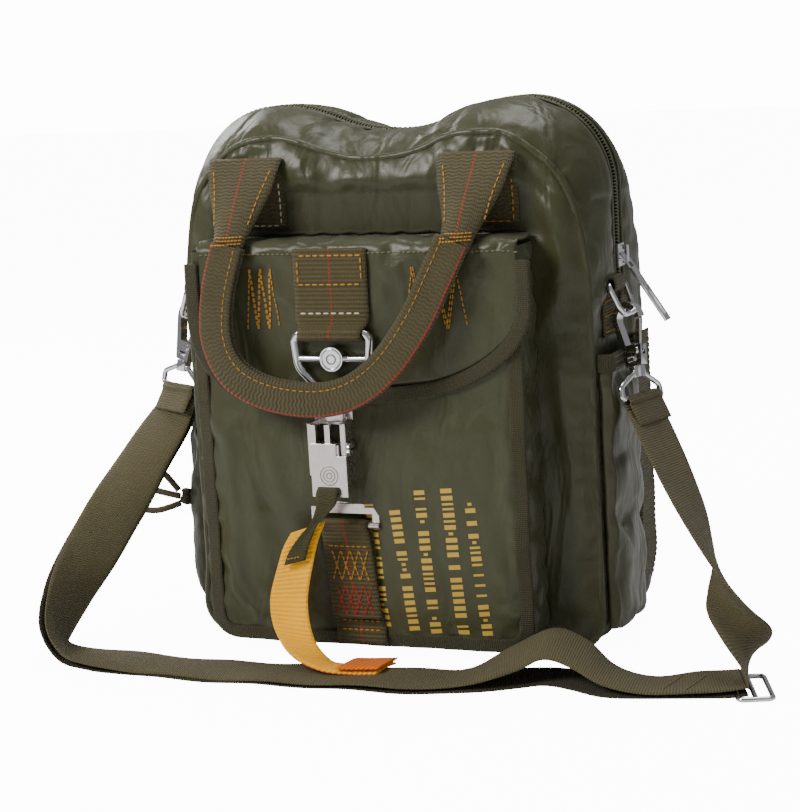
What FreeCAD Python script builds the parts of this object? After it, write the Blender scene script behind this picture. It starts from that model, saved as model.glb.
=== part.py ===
import FreeCAD, Part
import math
import os

# Flight bag: an upright zipped bag of thin nylon panels with a flapped front pocket, webbing handles,
# a ring-and-snap closure and a clip-on shoulder strap.
# Millimetres.  +X is the bag's left-to-right, -Y its front, +Z up, origin on the ground under the body.

# Driving dimensions
BODY_WIDTH = 250.0
BODY_DEPTH = 100.0
EAR_HEIGHT = 308.0        # top of the two rounded ears
DIP_HEIGHT = 292.0        # top edge midway between them
EAR_HALF_SPAN = 75.0
EAR_RADIUS = 50.0
BASE_RADIUS = 20.0
PANEL = 2.0               # wall of the body panels
GUSSET_SPLIT = 200.0      # where the plain side panels meet the zipped top gusset

POCKET_HALF_WIDTH = 98.0
POCKET_DEPTH = 30.0
POCKET_BOTTOM = 8.0
POCKET_TOP = 236.0
POCKET_WALL = 2.0

FLAP_HINGE_Y = -56.0
FLAP_HINGE_Z = 238.0
FLAP_HALF_WIDTH = 101.0
FLAP_BOTTOM = 154.0
FLAP_CORNER = 38.0
FLAP_THICK = 1.6

WIDE_WEBBING = 44.0       # flap strap and handle webbing
STRAP_WIDTH = 34.0        # shoulder strap webbing
STRAP_GAP = 3.9           # between the centres of its two layers
NARROW_WEBBING = 30.0     # webbing that holds the snap
WEBBING = 1.6             # thickness

HANDLE_FOLD_Y = -56.0
HANDLE_FOLD_Z = 280.0
HANDLE_CENTRES = (-74.0, 65.0)

ZIP_GAP = 12.0            # gap between the two halves of the top gusset
CHAIN_WIDTH = 6.0
CHAIN_PROUD = 1.2
SLIDER_Z = 219.0

RING_BAR_Y = -88.2
RING_BAR_Z = 187.0
RING_ROD = 2.5
RING_X = -14.0            # centre of the flap strap, the ring and the snap
SNAP_PIVOT_Y = -84.3
SNAP_PIVOT_Z = 78.0
LEVER_PIVOT_Y = -91.5
LEVER_PIVOT_Z = 123.0

D_RING_Y = -18.0
D_RING_BAR_Z = 205.0
D_RING_ROD = 1.6
HOOK_DROP = 50.0          # from the D-ring's rod to the hook's strap bar

CORD_RADIUS = 2.0
POUCH_Y = (-22, 42)       # the drawcord pouch on the left side, front to back
POUCH_OUT = 22            # how far it stands out
SIDE_POCKET_OUT = 8       # the slim pocket on the right side

X = FreeCAD.Vector(1, 0, 0)
Y = FreeCAD.Vector(0, 1, 0)
Z = FreeCAD.Vector(0, 0, 1)
FRONT_Y = -BODY_DEPTH / 2
POCKET_FRONT = FRONT_Y - POCKET_DEPTH
FLAP_BACK = POCKET_FRONT - 2.0
FLAP_FRONT = FLAP_BACK - FLAP_THICK
SIDE_X = BODY_WIDTH / 2

os.makedirs("parts", exist_ok=True)


def vec(x, y, z):
    return FreeCAD.Vector(x, y, z)


def save(name, shape):
    """Writes one sub-part and says what it is."""
    if shape.Volume < 0:
        shape.reverse()
    shape.exportStep("parts/" + name + ".step")
    state = "ok" if shape.isValid() else "NOT VALID"
    print(f"{name:26s} {state} solids {len(shape.Solids)} volume {shape.Volume / 1000:.2f} cm3")


def block(x, y, z):
    """A box from its low and high values along each axis."""
    low = vec(min(x), min(y), min(z))
    return Part.makeBox(max(x) - min(x), max(y) - min(y), max(z) - min(z), low)


def rod(start, end, radius):
    """A plain round bar between two points."""
    along = end - start
    return Part.makeCylinder(radius, along.Length, start, along)


def join(shapes):
    """One solid from several that touch or overlap."""
    return shapes[0].fuse(shapes[1:]).removeSplitter() if len(shapes) > 1 else shapes[0]


def arc(a, b, c):
    return Part.Arc(a, b, c).toShape()


def line(a, b):
    return Part.LineSegment(a, b).toShape()


def plate(wire, y_low, y_high):
    """Extrudes a flat wire drawn in the XZ plane at y = 0 between two depths."""
    face = Part.Face(wire)
    face.translate(vec(0, min(y_low, y_high), 0))
    return face.extrude(vec(0, abs(y_high - y_low), 0))


def rounded_path(points, radii, closed=False):
    """A wire of straight runs whose corners are tangent arcs of the given radii."""
    count = len(points)
    corners = range(count) if closed else range(1, count - 1)
    cut = {}
    for index in corners:
        before = points[(index - 1) % count] - points[index]
        after = points[(index + 1) % count] - points[index]
        angle = before.getAngle(after)
        radius = radii[index] if isinstance(radii, (list, tuple)) else radii
        setback = radius / math.tan(angle / 2)
        start = points[index] + before.normalize() * setback
        end = points[index] + after.normalize() * setback
        bisector = (before + after).normalize()
        centre = points[index] + bisector * (radius / math.sin(angle / 2))
        cut[index] = (start, centre - bisector * radius, end)
    edges = []
    for index in range(count if closed else count - 1):
        following = (index + 1) % count
        a = cut[index][2] if index in cut else points[index]
        b = cut[following][0] if following in cut else points[following]
        if (b - a).Length > 1e-6:
            edges.append(line(a, b))
        if following in cut:
            edges.append(arc(*cut[following]))
    return Part.Wire(edges)


def bent_rod(points, bend, radius, closed=False):
    """A round bar swept along a path of runs and tangent arcs."""
    path = rounded_path(points, bend, closed)
    first = path.OrderedEdges[0]
    tangent = first.tangentAt(first.FirstParameter)
    circle = Part.makeCircle(radius, first.valueAt(first.FirstParameter), tangent)
    return path.makePipeShell([Part.Wire([circle])], True, False)


def ribbon(centres, half_widths, thickness):
    """A thin flat band: at each station a centre, half the width as a vector, and one thickness."""
    count = len(centres)
    thick = thickness if isinstance(thickness, (list, tuple)) else [thickness] * count
    rings = []
    for index in range(count):
        ahead = centres[min(index + 1, count - 1)]
        behind = centres[max(index - 1, 0)]
        normal = (ahead - behind).cross(half_widths[index]).normalize() * (thick[index] / 2)
        centre, half = centres[index], half_widths[index]
        rings.append([centre - half - normal, centre + half - normal,
                      centre + half + normal, centre - half + normal])
    faces = [Part.Face(Part.makePolygon(ring[:3] + ring[:1])) for ring in (rings[0], rings[-1])]
    faces += [Part.Face(Part.makePolygon([ring[0], ring[2], ring[3], ring[0]]))
              for ring in (rings[0], rings[-1])]
    for one, two in zip(rings, rings[1:]):
        for side in range(4):
            a, b = one[side], one[(side + 1) % 4]
            c, d = two[(side + 1) % 4], two[side]
            faces.append(Part.Face(Part.makePolygon([a, b, c, a])))
            faces.append(Part.Face(Part.makePolygon([a, c, d, a])))
    shell = Part.Shell(faces)
    shell.sewShape()
    solid = Part.Solid(shell)
    if solid.Volume < 0:
        solid.reverse()
    return solid


def smooth(points, steps):
    """More stations between the given ones, on a curve through them."""
    result = []
    last = len(points) - 1
    for index in range(last):
        p0 = points[max(index - 1, 0)]
        p1, p2 = points[index], points[index + 1]
        p3 = points[min(index + 2, last)]
        for step in range(steps):
            t = step / steps
            result.append((p1 * 2 + (p2 - p0) * t + (p0 * 2 - p1 * 5 + p2 * 4 - p3) * t ** 2
                           + (p1 * 3 - p0 - p2 * 3 + p3) * t ** 3) * 0.5)
    result.append(points[last])
    return result


# Body of the bag -----------------------------------------------------------------------------

def body_outline(inset):
    """Front outline of the body, drawn inset by a distance: two ears with a shallow dip between."""
    half = SIDE_X - inset
    base = inset
    drop = EAR_HEIGHT - DIP_HEIGHT
    sweep = 2 * math.atan(drop / EAR_HALF_SPAN)
    curve = EAR_HALF_SPAN / (2 * math.sin(sweep))
    edges = []

    def polar(x, z, radius, angle):
        return vec(x + radius * math.cos(angle), 0, z + radius * math.sin(angle))

    def turn(x, z, radius, start, end):
        edges.append(arc(polar(x, z, radius, start), polar(x, z, radius, (start + end) / 2),
                         polar(x, z, radius, end)))

    quarter = math.pi / 2
    base_r = BASE_RADIUS - inset
    ear_r = EAR_RADIUS - inset
    foot_x = SIDE_X - BASE_RADIUS
    ear_x = SIDE_X - EAR_RADIUS
    ear_z = EAR_HEIGHT - EAR_RADIUS
    edges.append(line(vec(-foot_x, 0, base), vec(foot_x, 0, base)))
    turn(foot_x, BASE_RADIUS, base_r, -quarter, 0)
    edges.append(line(vec(half, 0, BASE_RADIUS), vec(half, 0, ear_z)))
    turn(ear_x, ear_z, ear_r, 0, quarter)
    turn(ear_x, EAR_HEIGHT - curve, curve - inset, quarter, quarter + sweep)
    turn(0, DIP_HEIGHT + curve, curve + inset, -quarter + sweep, -quarter - sweep)
    turn(-ear_x, EAR_HEIGHT - curve, curve - inset, quarter - sweep, quarter)
    turn(-ear_x, ear_z, ear_r, quarter, 2 * quarter)
    edges.append(line(vec(-half, 0, ear_z), vec(-half, 0, BASE_RADIUS)))
    turn(-foot_x, BASE_RADIUS, base_r, 2 * quarter, 3 * quarter)
    return Part.Wire(edges)


def body_band(outer_inset, inner_inset, y_low, y_high):
    """A band that follows the body's outline between two depths."""
    return plate(body_outline(outer_inset), y_low, y_high).cut(
        plate(body_outline(inner_inset), y_low - 1, y_high + 1))


def body_panels():
    depth = BODY_DEPTH / 2
    inner = depth - PANEL
    save("front_panel", plate(body_outline(0), -depth, -inner))
    save("back_panel", plate(body_outline(0), inner, depth))
    band = body_band(0, PANEL, -inner, inner)
    foot = SIDE_X - BASE_RADIUS
    save("base_panel", band.common(block((-foot, foot), (-60, 60), (-1, 30))))
    for name, side in (("left", -1), ("right", 1)):
        zone = block((side * foot, side * 140), (-60, 60), (-1, GUSSET_SPLIT))
        save(name + "_side_panel", band.common(zone))
    above = block((-140, 140), (-60, 60), (GUSSET_SPLIT, 320))
    top = band.common(above)
    gap = ZIP_GAP / 2
    save("top_gusset_front", top.common(block((-140, 140), (-inner, -gap), (0, 320))))
    save("top_gusset_rear", top.common(block((-140, 140), (gap, inner), (0, 320))))


def zipper():
    gap = ZIP_GAP / 2
    half = CHAIN_WIDTH / 2
    above = block((-140, 140), (-60, 60), (GUSSET_SPLIT, 320))
    for name, low, high in (("front", -gap, -half), ("rear", half, gap)):
        save("zip_tape_" + name, body_band(0.5, PANEL - 0.5, low, high).common(above))
    teeth_zone = block((-140, 140), (-60, 60), (GUSSET_SPLIT + 4, 320))
    save("zip_chain", body_band(-CHAIN_PROUD, PANEL - 0.2, -half, half).common(teeth_zone))
    tab = block((SIDE_X, SIDE_X + 2.2), (-9, 9), (GUSSET_SPLIT - 8, GUSSET_SPLIT + 3))
    save("zip_end_tab", tab)


def zip_slider():
    """A slider shell over the chain, with the bridge that holds the pull."""
    outer = SIDE_X + CHAIN_PROUD + 0.4
    z_low, z_high = SLIDER_Z - 7, SLIDER_Z + 6
    shell = block((SIDE_X + 0.4, outer + 1.6), (-6, 6), (z_low, z_high))
    channel = block((SIDE_X, outer), (-CHAIN_WIDTH / 2 - 0.4, CHAIN_WIDTH / 2 + 0.4), (z_low - 1, z_high + 1))
    bridge = block((outer + 1.6, outer + 5.6), (-2, 2), (SLIDER_Z - 5, SLIDER_Z + 5))
    eye = block((outer + 1.6, outer + 3.6), (-3, 3), (SLIDER_Z - 2.6, SLIDER_Z + 2.6))
    save("zip_slider", join([shell.cut(channel), bridge.cut(eye)]))


PULL_X = SIDE_X + CHAIN_PROUD + 0.4 + 2.6
PULL_LEAN = math.radians(33)


def zip_pull():
    """A long thin pull whose cross bar sits in the slider's bridge, hanging a little away from the side."""
    pivot = vec(PULL_X, 0, SLIDER_Z)
    down = vec(math.sin(PULL_LEAN), 0, -math.cos(PULL_LEAN))
    bar = rod(pivot - Y * 4.6, pivot + Y * 4.6, 0.7)
    arms = [rod(pivot + Y * side * 4, pivot + Y * side * 4 + down * 11, 0.8) for side in (-1, 1)]
    blade = block((-0.7, 0.7), (-4.8, 4.8), (-45, -9))
    blade = blade.cut(block((-1, 1), (-2.2, 2.2), (-41, -22)))
    blade.rotate(vec(0, 0, 0), Y, -math.degrees(PULL_LEAN))
    blade.translate(pivot)
    save("zip_pull", join([bar] + arms + [blade]))


# Front pocket and flap -------------------------------------------------------------------------

def pocket_outline(inset, corner=14.0):
    half = POCKET_HALF_WIDTH - inset
    low = POCKET_BOTTOM + inset
    points = [vec(-half, 0, POCKET_TOP), vec(-half, 0, low), vec(half, 0, low), vec(half, 0, POCKET_TOP)]
    path = rounded_path(points, corner - inset)
    return Part.Wire(path.Edges + [line(points[3], points[0])])


def front_pocket():
    front = POCKET_FRONT
    save("pocket_panel", plate(pocket_outline(0), front, front + POCKET_WALL))
    wall = plate(pocket_outline(0), front + POCKET_WALL, FRONT_Y)
    hollow = plate(pocket_outline(POCKET_WALL), front, 0)
    above = block((-POCKET_HALF_WIDTH + POCKET_WALL, POCKET_HALF_WIDTH - POCKET_WALL), (front, 0),
                  (POCKET_TOP - 10, POCKET_TOP + 10))
    save("pocket_gusset", wall.cut(hollow).cut(above))
    tape = plate(pocket_outline(-0.6), front - 1.2, front)
    tape = tape.cut(plate(pocket_outline(9), front - 2, front + 1))
    save("pocket_edge_binding", tape.cut(block((-89, 89), (-100, 0), (POCKET_TOP - 12, POCKET_TOP + 10))))


def flap_outline(grow):
    half = FLAP_HALF_WIDTH + grow
    low = FLAP_BOTTOM - grow
    points = [vec(-half, 0, FLAP_HINGE_Z), vec(-half, 0, low), vec(half, 0, low), vec(half, 0, FLAP_HINGE_Z)]
    path = rounded_path(points, FLAP_CORNER + grow)
    return Part.Wire(path.Edges + [line(points[3], points[0])])


def flap():
    top = FLAP_HINGE_Z
    hang = plate(flap_outline(0), FLAP_FRONT, FLAP_BACK)
    shelf = block((-FLAP_HALF_WIDTH, FLAP_HALF_WIDTH), (FLAP_FRONT, FLAP_HINGE_Y), (top, top + FLAP_THICK))
    save("flap_panel", join([hang, shelf]))
    tape = plate(flap_outline(0.8), FLAP_FRONT - 0.8, FLAP_BACK + 0.3)
    tape = tape.cut(plate(flap_outline(-9), FLAP_FRONT - 2, FLAP_BACK + 2))
    body = plate(flap_outline(0), FLAP_FRONT, FLAP_BACK)
    rest = block((-90, 90), (-100, 0), (top - 12, top + 10))
    save("flap_binding", tape.cut(body).cut(rest))
    save("flap_seam_tape", block((-FLAP_HALF_WIDTH, FLAP_HALF_WIDTH),
                                 (FLAP_HINGE_Y + 2, FRONT_Y), (top - 1, top + 2)))


def loop_tube(centre, axis_half, inner, outer):
    """Webbing rolled round a bar that lies along X: a short tube."""
    start = centre - X * axis_half
    return Part.makeCylinder(outer, 2 * axis_half, start, X).cut(
        Part.makeCylinder(inner, 2 * axis_half + 2, start - X, X))


def flap_webbing():
    half = WIDE_WEBBING / 2 - 3.5
    strip = block((RING_X - WIDE_WEBBING / 2, RING_X + WIDE_WEBBING / 2),
                  (FLAP_FRONT - 2 * WEBBING, FLAP_FRONT), (RING_BAR_Z + 5, 232))
    neck = block((RING_X - half, RING_X + half), (FLAP_FRONT - 2 * WEBBING, FLAP_FRONT),
                 (RING_BAR_Z, RING_BAR_Z + 6))
    roll = loop_tube(vec(RING_X, RING_BAR_Y, RING_BAR_Z), half, RING_ROD + 0.5, -FLAP_FRONT + RING_BAR_Y + 9.2)
    clear = Part.makeCylinder(RING_ROD + 0.5, 60, vec(RING_X - 30, RING_BAR_Y, RING_BAR_Z), X)
    save("flap_webbing", join([strip, neck, roll]).cut(clear))


def v_ring():
    """Chrome ring: a top bar in the flap's webbing, a cross bar with a plain round disc, and a V foot."""
    half, waist = 23.0, 21.0
    corners = [(-half, RING_BAR_Z), (half, RING_BAR_Z), (waist, 168), (5, 151), (-5, 151), (-waist, 168)]
    points = [vec(RING_X + x, RING_BAR_Y, z) for x, z in corners]
    frame = bent_rod(points, [4, 4, 12, 5, 5, 12], RING_ROD, closed=True)
    bar_z = 173.0
    bar = rod(vec(RING_X - waist - 0.5, RING_BAR_Y, bar_z), vec(RING_X + waist + 0.5, RING_BAR_Y, bar_z), 1.9)
    disc = rod(vec(RING_X, RING_BAR_Y - 2.6, bar_z), vec(RING_X, RING_BAR_Y + 2.2, bar_z), 6.8)
    save("v_ring", join([frame, bar, disc]))


def lower_webbing():
    """Webbing sewn down the pocket's front, with a loop at its top for the snap's adapter."""
    half = NARROW_WEBBING / 2 - 1
    strip = block((RING_X - NARROW_WEBBING / 2, RING_X + NARROW_WEBBING / 2),
                  (POCKET_FRONT - WEBBING, POCKET_FRONT), (POCKET_BOTTOM + 9.4, SNAP_PIVOT_Z - 5))
    neck = block((RING_X - half, RING_X + half), (POCKET_FRONT - WEBBING, POCKET_FRONT),
                 (SNAP_PIVOT_Z - 6, SNAP_PIVOT_Z))
    roll = loop_tube(vec(RING_X, SNAP_PIVOT_Y, SNAP_PIVOT_Z), half, 2.4, 4.3)
    clear = Part.makeCylinder(2.4, 60, vec(RING_X - 30, SNAP_PIVOT_Y, SNAP_PIVOT_Z), X)
    save("lower_webbing", join([strip, neck, roll]).cut(clear))


# Ejector snap ------------------------------------------------------------------------------------

def snap():
    left, right = RING_X - 15, RING_X + 8
    back, face = POCKET_FRONT - 2.0, POCKET_FRONT - 4.2
    spine = block((left, right), (face, back), (90, 151.3))
    saddle = block((RING_X - 4, RING_X + 4), (-92, face), (143, 148))
    cheeks = [block((left, left + 2.2), (-96, face), (108, 138)),
              block((right - 3.4, right), (-96, face), (103, 138))]
    body = join([spine, saddle] + cheeks)
    pin_hole = rod(vec(left - 1, LEVER_PIVOT_Y, LEVER_PIVOT_Z), vec(right + 1, LEVER_PIVOT_Y, LEVER_PIVOT_Z), 2.0)
    save("snap_frame", body.cut(pin_hole))
    pin = rod(vec(left - 0.8, LEVER_PIVOT_Y, LEVER_PIVOT_Z), vec(right, LEVER_PIVOT_Y, LEVER_PIVOT_Z), 2.0)
    head = rod(vec(right, LEVER_PIVOT_Y, LEVER_PIVOT_Z), vec(right + 1.8, LEVER_PIVOT_Y, LEVER_PIVOT_Z), 4.2)
    save("snap_screw", join([pin, head]))
    width = 20.5
    frame = [block((RING_X - 12, RING_X + 12), (face - 0.4, back), (86, 90)),
             block((RING_X - width, RING_X + width), (face - 0.4, back), (84.5, 88))]
    for side in (-1, 1):
        frame.append(block((RING_X + side * width, RING_X + side * (width - 4)), (face - 0.4, back), (76, 85)))
    bar = rod(vec(RING_X - width, SNAP_PIVOT_Y, SNAP_PIVOT_Z), vec(RING_X + width, SNAP_PIVOT_Y, SNAP_PIVOT_Z), 2.0)
    save("snap_adapter", join(frame + [bar]))


def snap_lever():
    """The front plate that is pulled to release, with its two-pronged gate above the pivot."""
    left, right = RING_X - 12.4, RING_X + 4.2
    barrel = rod(vec(left, LEVER_PIVOT_Y, LEVER_PIVOT_Z), vec(right, LEVER_PIVOT_Y, LEVER_PIVOT_Z), 3.6)
    web = block((left, right), (-98, LEVER_PIVOT_Y), (119.5, 126))
    plate_low = block((RING_X - 12.4, RING_X + 9), (-99.2, -96.8), (97, 120))
    plate_top = block((left, RING_X + 3), (-99.2, -96.8), (119, 127))
    prongs = [block((left + 0.4 + shift, left + 3.6 + shift), (-98.6, -95.4), (126, 137.5)) for shift in (0, 8.6)]
    solid = join([barrel, web, plate_low, plate_top] + prongs)
    bore = rod(vec(left - 1, LEVER_PIVOT_Y, LEVER_PIVOT_Z), vec(right + 1, LEVER_PIVOT_Y, LEVER_PIVOT_Z), 2.06)
    slot = block((RING_X - 9, RING_X + 4), (-101, -95), (99.5, 102.5))
    save("snap_lever", solid.cut(bore).cut(slot))


def release_straps():
    """The narrow tab tied into the lever, and the bright pull strap that it carries."""
    tab_centres = [vec(RING_X - 2, -100.2, 108), vec(RING_X - 4, -101, 96), vec(-25, -102, 84),
                   vec(-34, -103, 72), vec(-38, -104.2, 60)]
    tab_half = [vec(5.5, 0, 0), vec(5.8, 0, 0.8), vec(4.6, 0, 3.2), vec(5.6, 0, 2.4), vec(5.8, 0, 1.6)]
    save("pull_tab", ribbon(tab_centres, tab_half, 1.2))
    centres = [vec(-33, -99.5, 75), vec(-38, -101, 60), vec(-42, -105, 38), vec(-37, -112, 20), vec(-24, -121, 9),
               vec(-10, -124, 5), vec(-3, -114, 7.5), vec(0, -100, 5), vec(-3, -88, 3)]
    halves = [vec(11, 0, 3), vec(11.2, 0, 2.6), vec(11.5, 0, 0.5), vec(11.2, 1, -1.5), vec(10, 4, -2.5),
              vec(8.5, 6.5, -1.5), vec(9.5, 6, 1), vec(10.5, 3.5, 0), vec(11, 1.5, 0)]
    save("release_strap", ribbon(smooth(centres, 3), smooth(halves, 3), 1.2))


# Handles -------------------------------------------------------------------------------------------

def handle_patches():
    half = WIDE_WEBBING / 2
    pieces = []
    for side in (-1, 1):
        y_near = side * BODY_DEPTH / 2
        y_far = side * (BODY_DEPTH / 2 + 2.4)
        pieces += [block((x - half, x + half), (y_near, y_far), (FLAP_HINGE_Z + 3, HANDLE_FOLD_Z - 1))
                   for x in HANDLE_CENTRES]
    save("handle_patches", Part.makeCompound(pieces))


def handle_folds(side, name):
    """The rolled top folds of a handle's webbing, on the line that it swings about."""
    half = WIDE_WEBBING / 2
    pieces = []
    for x in HANDLE_CENTRES:
        start = vec(x - half, side * -HANDLE_FOLD_Y, HANDLE_FOLD_Z)
        pieces.append(Part.makeCylinder(2.2, 2 * half, start, X))
    save(name, Part.makeCompound(pieces))


FRONT_GRIP = [vec(-73, -92, 237.2), vec(-79.2, -96.5, 211), vec(-80, -99, 185), vec(-69, -101.5, 165),
              vec(-47, -102, 154), vec(-18, -102, 151), vec(5, -102, 157), vec(25, -102, 172),
              vec(42, -99, 195), vec(54, -95, 219), vec(62.6, -92, 237.2)]
REAR_GRIP = [vec(-76, 60, 236), vec(-78, 61, 212), vec(-74, 62, 184), vec(-58, 62, 163), vec(-34, 62, 152),
             vec(-6, 62, 149), vec(22, 62, 153), vec(46, 62, 164), vec(63, 62, 185), vec(67, 61, 212), vec(66, 60, 236)]


def handle(name, grip, side, width=22.0, thick=6.0):
    """A U grip of webbing folded lengthwise, and the two flat legs that open out to its top folds."""
    stations = smooth(grip, 2)
    halves = []
    for index in range(len(stations)):
        ahead = stations[min(index + 1, len(stations) - 1)]
        behind = stations[max(index - 1, 0)]
        across = (ahead - behind).cross(Y).normalize()
        halves.append(across * (width / 2))
    save(name + "_handle_grip", ribbon(stations, halves, thick))
    legs = []
    for x, end in ((HANDLE_CENTRES[0], 0), (HANDLE_CENTRES[1], -1)):
        top = vec(x, side * (-HANDLE_FOLD_Y + 2.9), HANDLE_FOLD_Z - 2.6)
        pinch, half_end = stations[end], halves[end]
        pinch = pinch + (top - pinch).normalize() * 1.8
        if half_end.x < 0:
            half_end = half_end * -1
        middle = (top + pinch) * 0.5 + Y * side * 0.5
        legs.append(ribbon([top, middle, pinch],
                           [X * (WIDE_WEBBING / 2), X * 18, half_end], [1.8, 2.4, thick]))
    save(name + "_handle_legs", Part.makeCompound(legs))


# Sides: webbing, rings, pockets ----------------------------------------------------------------------

def side_webbing():
    """On each side, a webbing strip down the panel and a looped strip that carries the D-ring."""
    plain, looped = [], []
    for name, side in (("left", -1), ("right", 1)):
        near, far = side * SIDE_X, side * (SIDE_X + WEBBING)
        plain.append(block((near, far), (14, 46), (133 if side < 0 else 22, 168)))
        strip = block((near, far), (D_RING_Y - 16, D_RING_Y + 8), (D_RING_BAR_Z - 30, D_RING_BAR_Z + 16))
        bar = vec(side * (SIDE_X + 4.4), D_RING_Y, D_RING_BAR_Z)
        roll_low, roll_high = D_RING_Y - 12, D_RING_Y + 8
        roll = Part.makeCylinder(4.4, roll_high - roll_low, vec(bar.x, roll_low, bar.z), Y)
        clear = Part.makeCylinder(D_RING_ROD + 0.4, 60, bar - Y * 30, Y)
        flat = strip.cut(block((near, far), (-60, roll_low), (D_RING_BAR_Z - 4, D_RING_BAR_Z + 4)))
        looped.append(join([flat, roll]).cut(clear))
        lean = 7.0
        foot = 17.0
        corners = [(-15, 0), (15, 0), (12, foot), (-12, foot)]
        points = [vec(bar.x + side * lean * drop / foot, D_RING_Y + y, D_RING_BAR_Z - drop) for y, drop in corners]
        save(name + "_d_ring", bent_rod(points, [3, 3, 8, 8], D_RING_ROD, closed=True))
    save("side_webbing", Part.makeCompound(plain))
    save("ring_webbing", Part.makeCompound(looped))


def pouch(y_low, y_high, z_low, z_high, out, wall):
    """An open-topped pouch on the right side of the body, as a walled box with rounded lower edges."""
    outer = block((SIDE_X, SIDE_X + out), (y_low, y_high), (z_low, z_high))
    outer = outer.makeFillet(out * 0.45, [e for e in outer.Edges if all(
        abs(v.X - SIDE_X - out) < 1e-6 for v in e.Vertexes) and min(v.Z for v in e.Vertexes) < z_high - 1
        and abs(e.Vertexes[0].Z - e.Vertexes[-1].Z) > 1])
    inner = block((SIDE_X, SIDE_X + out - wall), (y_low + wall, y_high - wall), (z_low + wall, z_high + 1))
    inner = inner.makeFillet(out * 0.3, [e for e in inner.Edges if all(
        abs(v.X - SIDE_X - out + wall) < 1e-6 for v in e.Vertexes) and abs(e.Vertexes[0].Z - e.Vertexes[-1].Z) > 1])
    return outer.cut(inner)


def mirror_x(shape):
    return shape.mirror(vec(0, 0, 0), X)


def side_pockets():
    body = pouch(-47, 12, 12, 163, SIDE_POCKET_OUT, 1.6)
    save("right_side_pocket", body)
    rim = block((SIDE_X + SIDE_POCKET_OUT, SIDE_X + SIDE_POCKET_OUT + 0.6), (-42, 7), (153, 163))
    save("right_pocket_binding", rim)
    y_low, y_high = POUCH_Y
    save("drawcord_pouch", mirror_x(pouch(y_low, y_high, 12, 118, POUCH_OUT, 1.6)))
    hem = mirror_x(pouch(y_low, y_high, 118, 130, POUCH_OUT, 1.6))
    through = block((-SIDE_X - POUCH_OUT + 1.6, -SIDE_X), (y_low + 1.6, y_high - 1.6), (100, 140))
    save("drawcord_hem", hem.cut(through))


# Snap hooks --------------------------------------------------------------------------------------------

def hook_frame(rod_point, bar_point, bar_direction):
    """Placement of a hook: its local Z runs up from the strap bar, its local X along that bar."""
    up = (rod_point - bar_point).normalize()
    across = (bar_direction - up * bar_direction.dot(up)).normalize()
    normal = up.cross(across)
    return FreeCAD.Placement(FreeCAD.Matrix(
        across.x, normal.x, up.x, bar_point.x, across.y, normal.y, up.y, bar_point.y,
        across.z, normal.z, up.z, bar_point.z, 0, 0, 0, 1))


def hook_loop():
    """The strap loop: a bar, two splayed arms and the barrel that the hook turns on."""
    half = STRAP_WIDTH / 2 + 2.2
    points = [vec(-half, 0, 0), vec(half, 0, 0), vec(half, 0, 7), vec(4, 0, 14.5), vec(-4, 0, 14.5), vec(-half, 0, 7)]
    frame = bent_rod(points, [2, 2, 4, 3, 3, 4], 1.6, closed=True)
    barrel = Part.makeCylinder(4.4, 6, vec(0, 0, 11.8), Z)
    stem = Part.makeCylinder(1.8, 5.4, vec(0, 0, 17), Z)
    cap = Part.makeCylinder(3.1, 1.6, vec(0, 0, 21.2), Z)
    return join([frame, barrel, stem, cap])


def hook_body():
    """The teardrop hook above the swivel, open on one side where its gate closes it."""
    outer = Part.Wire([arc(vec(-10, 0, 42), vec(0, 0, 54.2), vec(10, 0, 42)), line(vec(10, 0, 42), vec(6, 0, 18.2)),
                       line(vec(6, 0, 18.2), vec(-6, 0, 18.2)), line(vec(-6, 0, 18.2), vec(-10, 0, 42))])
    inner = Part.Wire([arc(vec(-6.4, 0, 43), vec(0, 0, 50.8), vec(6.4, 0, 43)), line(vec(6.4, 0, 43), vec(3.4, 0, 30)),
                       line(vec(3.4, 0, 30), vec(-3.4, 0, 30)), line(vec(-3.4, 0, 30), vec(-6.4, 0, 43))])
    body = plate(outer, -2.4, 2.4).cut(plate(inner, -5, 5))
    mouth = block((3.5, 14), (-5, 5), (29.5, 44.5))
    cavity = block((-3.6, 3.6), (-5, 5), (20.6, 23.6))
    stem_hole = Part.makeCylinder(2.15, 6, vec(0, 0, 16), Z)
    pin_hole = rod(vec(2.8, -5, 26.6), vec(2.8, 5, 26.6), 1.3)
    gate_slot = block((-1, 14), (-1.2, 1.2), (23.9, 31))
    return body.cut(mouth).cut(cavity).cut(stem_hole).cut(pin_hole).cut(gate_slot)


def hook_rivet():
    return join([rod(vec(2.8, -2.4, 26.6), vec(2.8, 2.4, 26.6), 1.3),
                 rod(vec(2.8, -3.2, 26.6), vec(2.8, -2.4, 26.6), 2.2),
                 rod(vec(2.8, 2.4, 26.6), vec(2.8, 3.2, 26.6), 2.2)])


def hook_gate():
    """A sprung arm from the rivet up across the hook's mouth."""
    eye = rod(vec(2.8, -0.9, 26.6), vec(2.8, 0.9, 26.6), 2.5)
    arm = Part.Wire(Part.makePolygon([vec(1.2, 0, 27), vec(5.2, 0, 26), vec(9.0, 0, 43.5), vec(6.4, 0, 43.5),
                                      vec(1.2, 0, 27)]).Edges)
    gate = join([eye, plate(arm, -0.9, 0.9)])
    return gate.cut(rod(vec(2.8, -5, 26.6), vec(2.8, 5, 26.6), 1.36))


RIGHT_ROD, RIGHT_BAR = vec(136.0, -21, 190.2), vec(145.5, -30, 142)
LEFT_ROD, LEFT_BAR = vec(-136.0, -17, 190.2), vec(-146, -19, 142.5)
HOOK_ACROSS = {"left": vec(0.86, -0.5, 0), "right": vec(0.88, -0.47, 0)}
LOOP_ACROSS = {"left": vec(0.86, -0.5, 0), "right": vec(0.28, 0.96, 0)}


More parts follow.
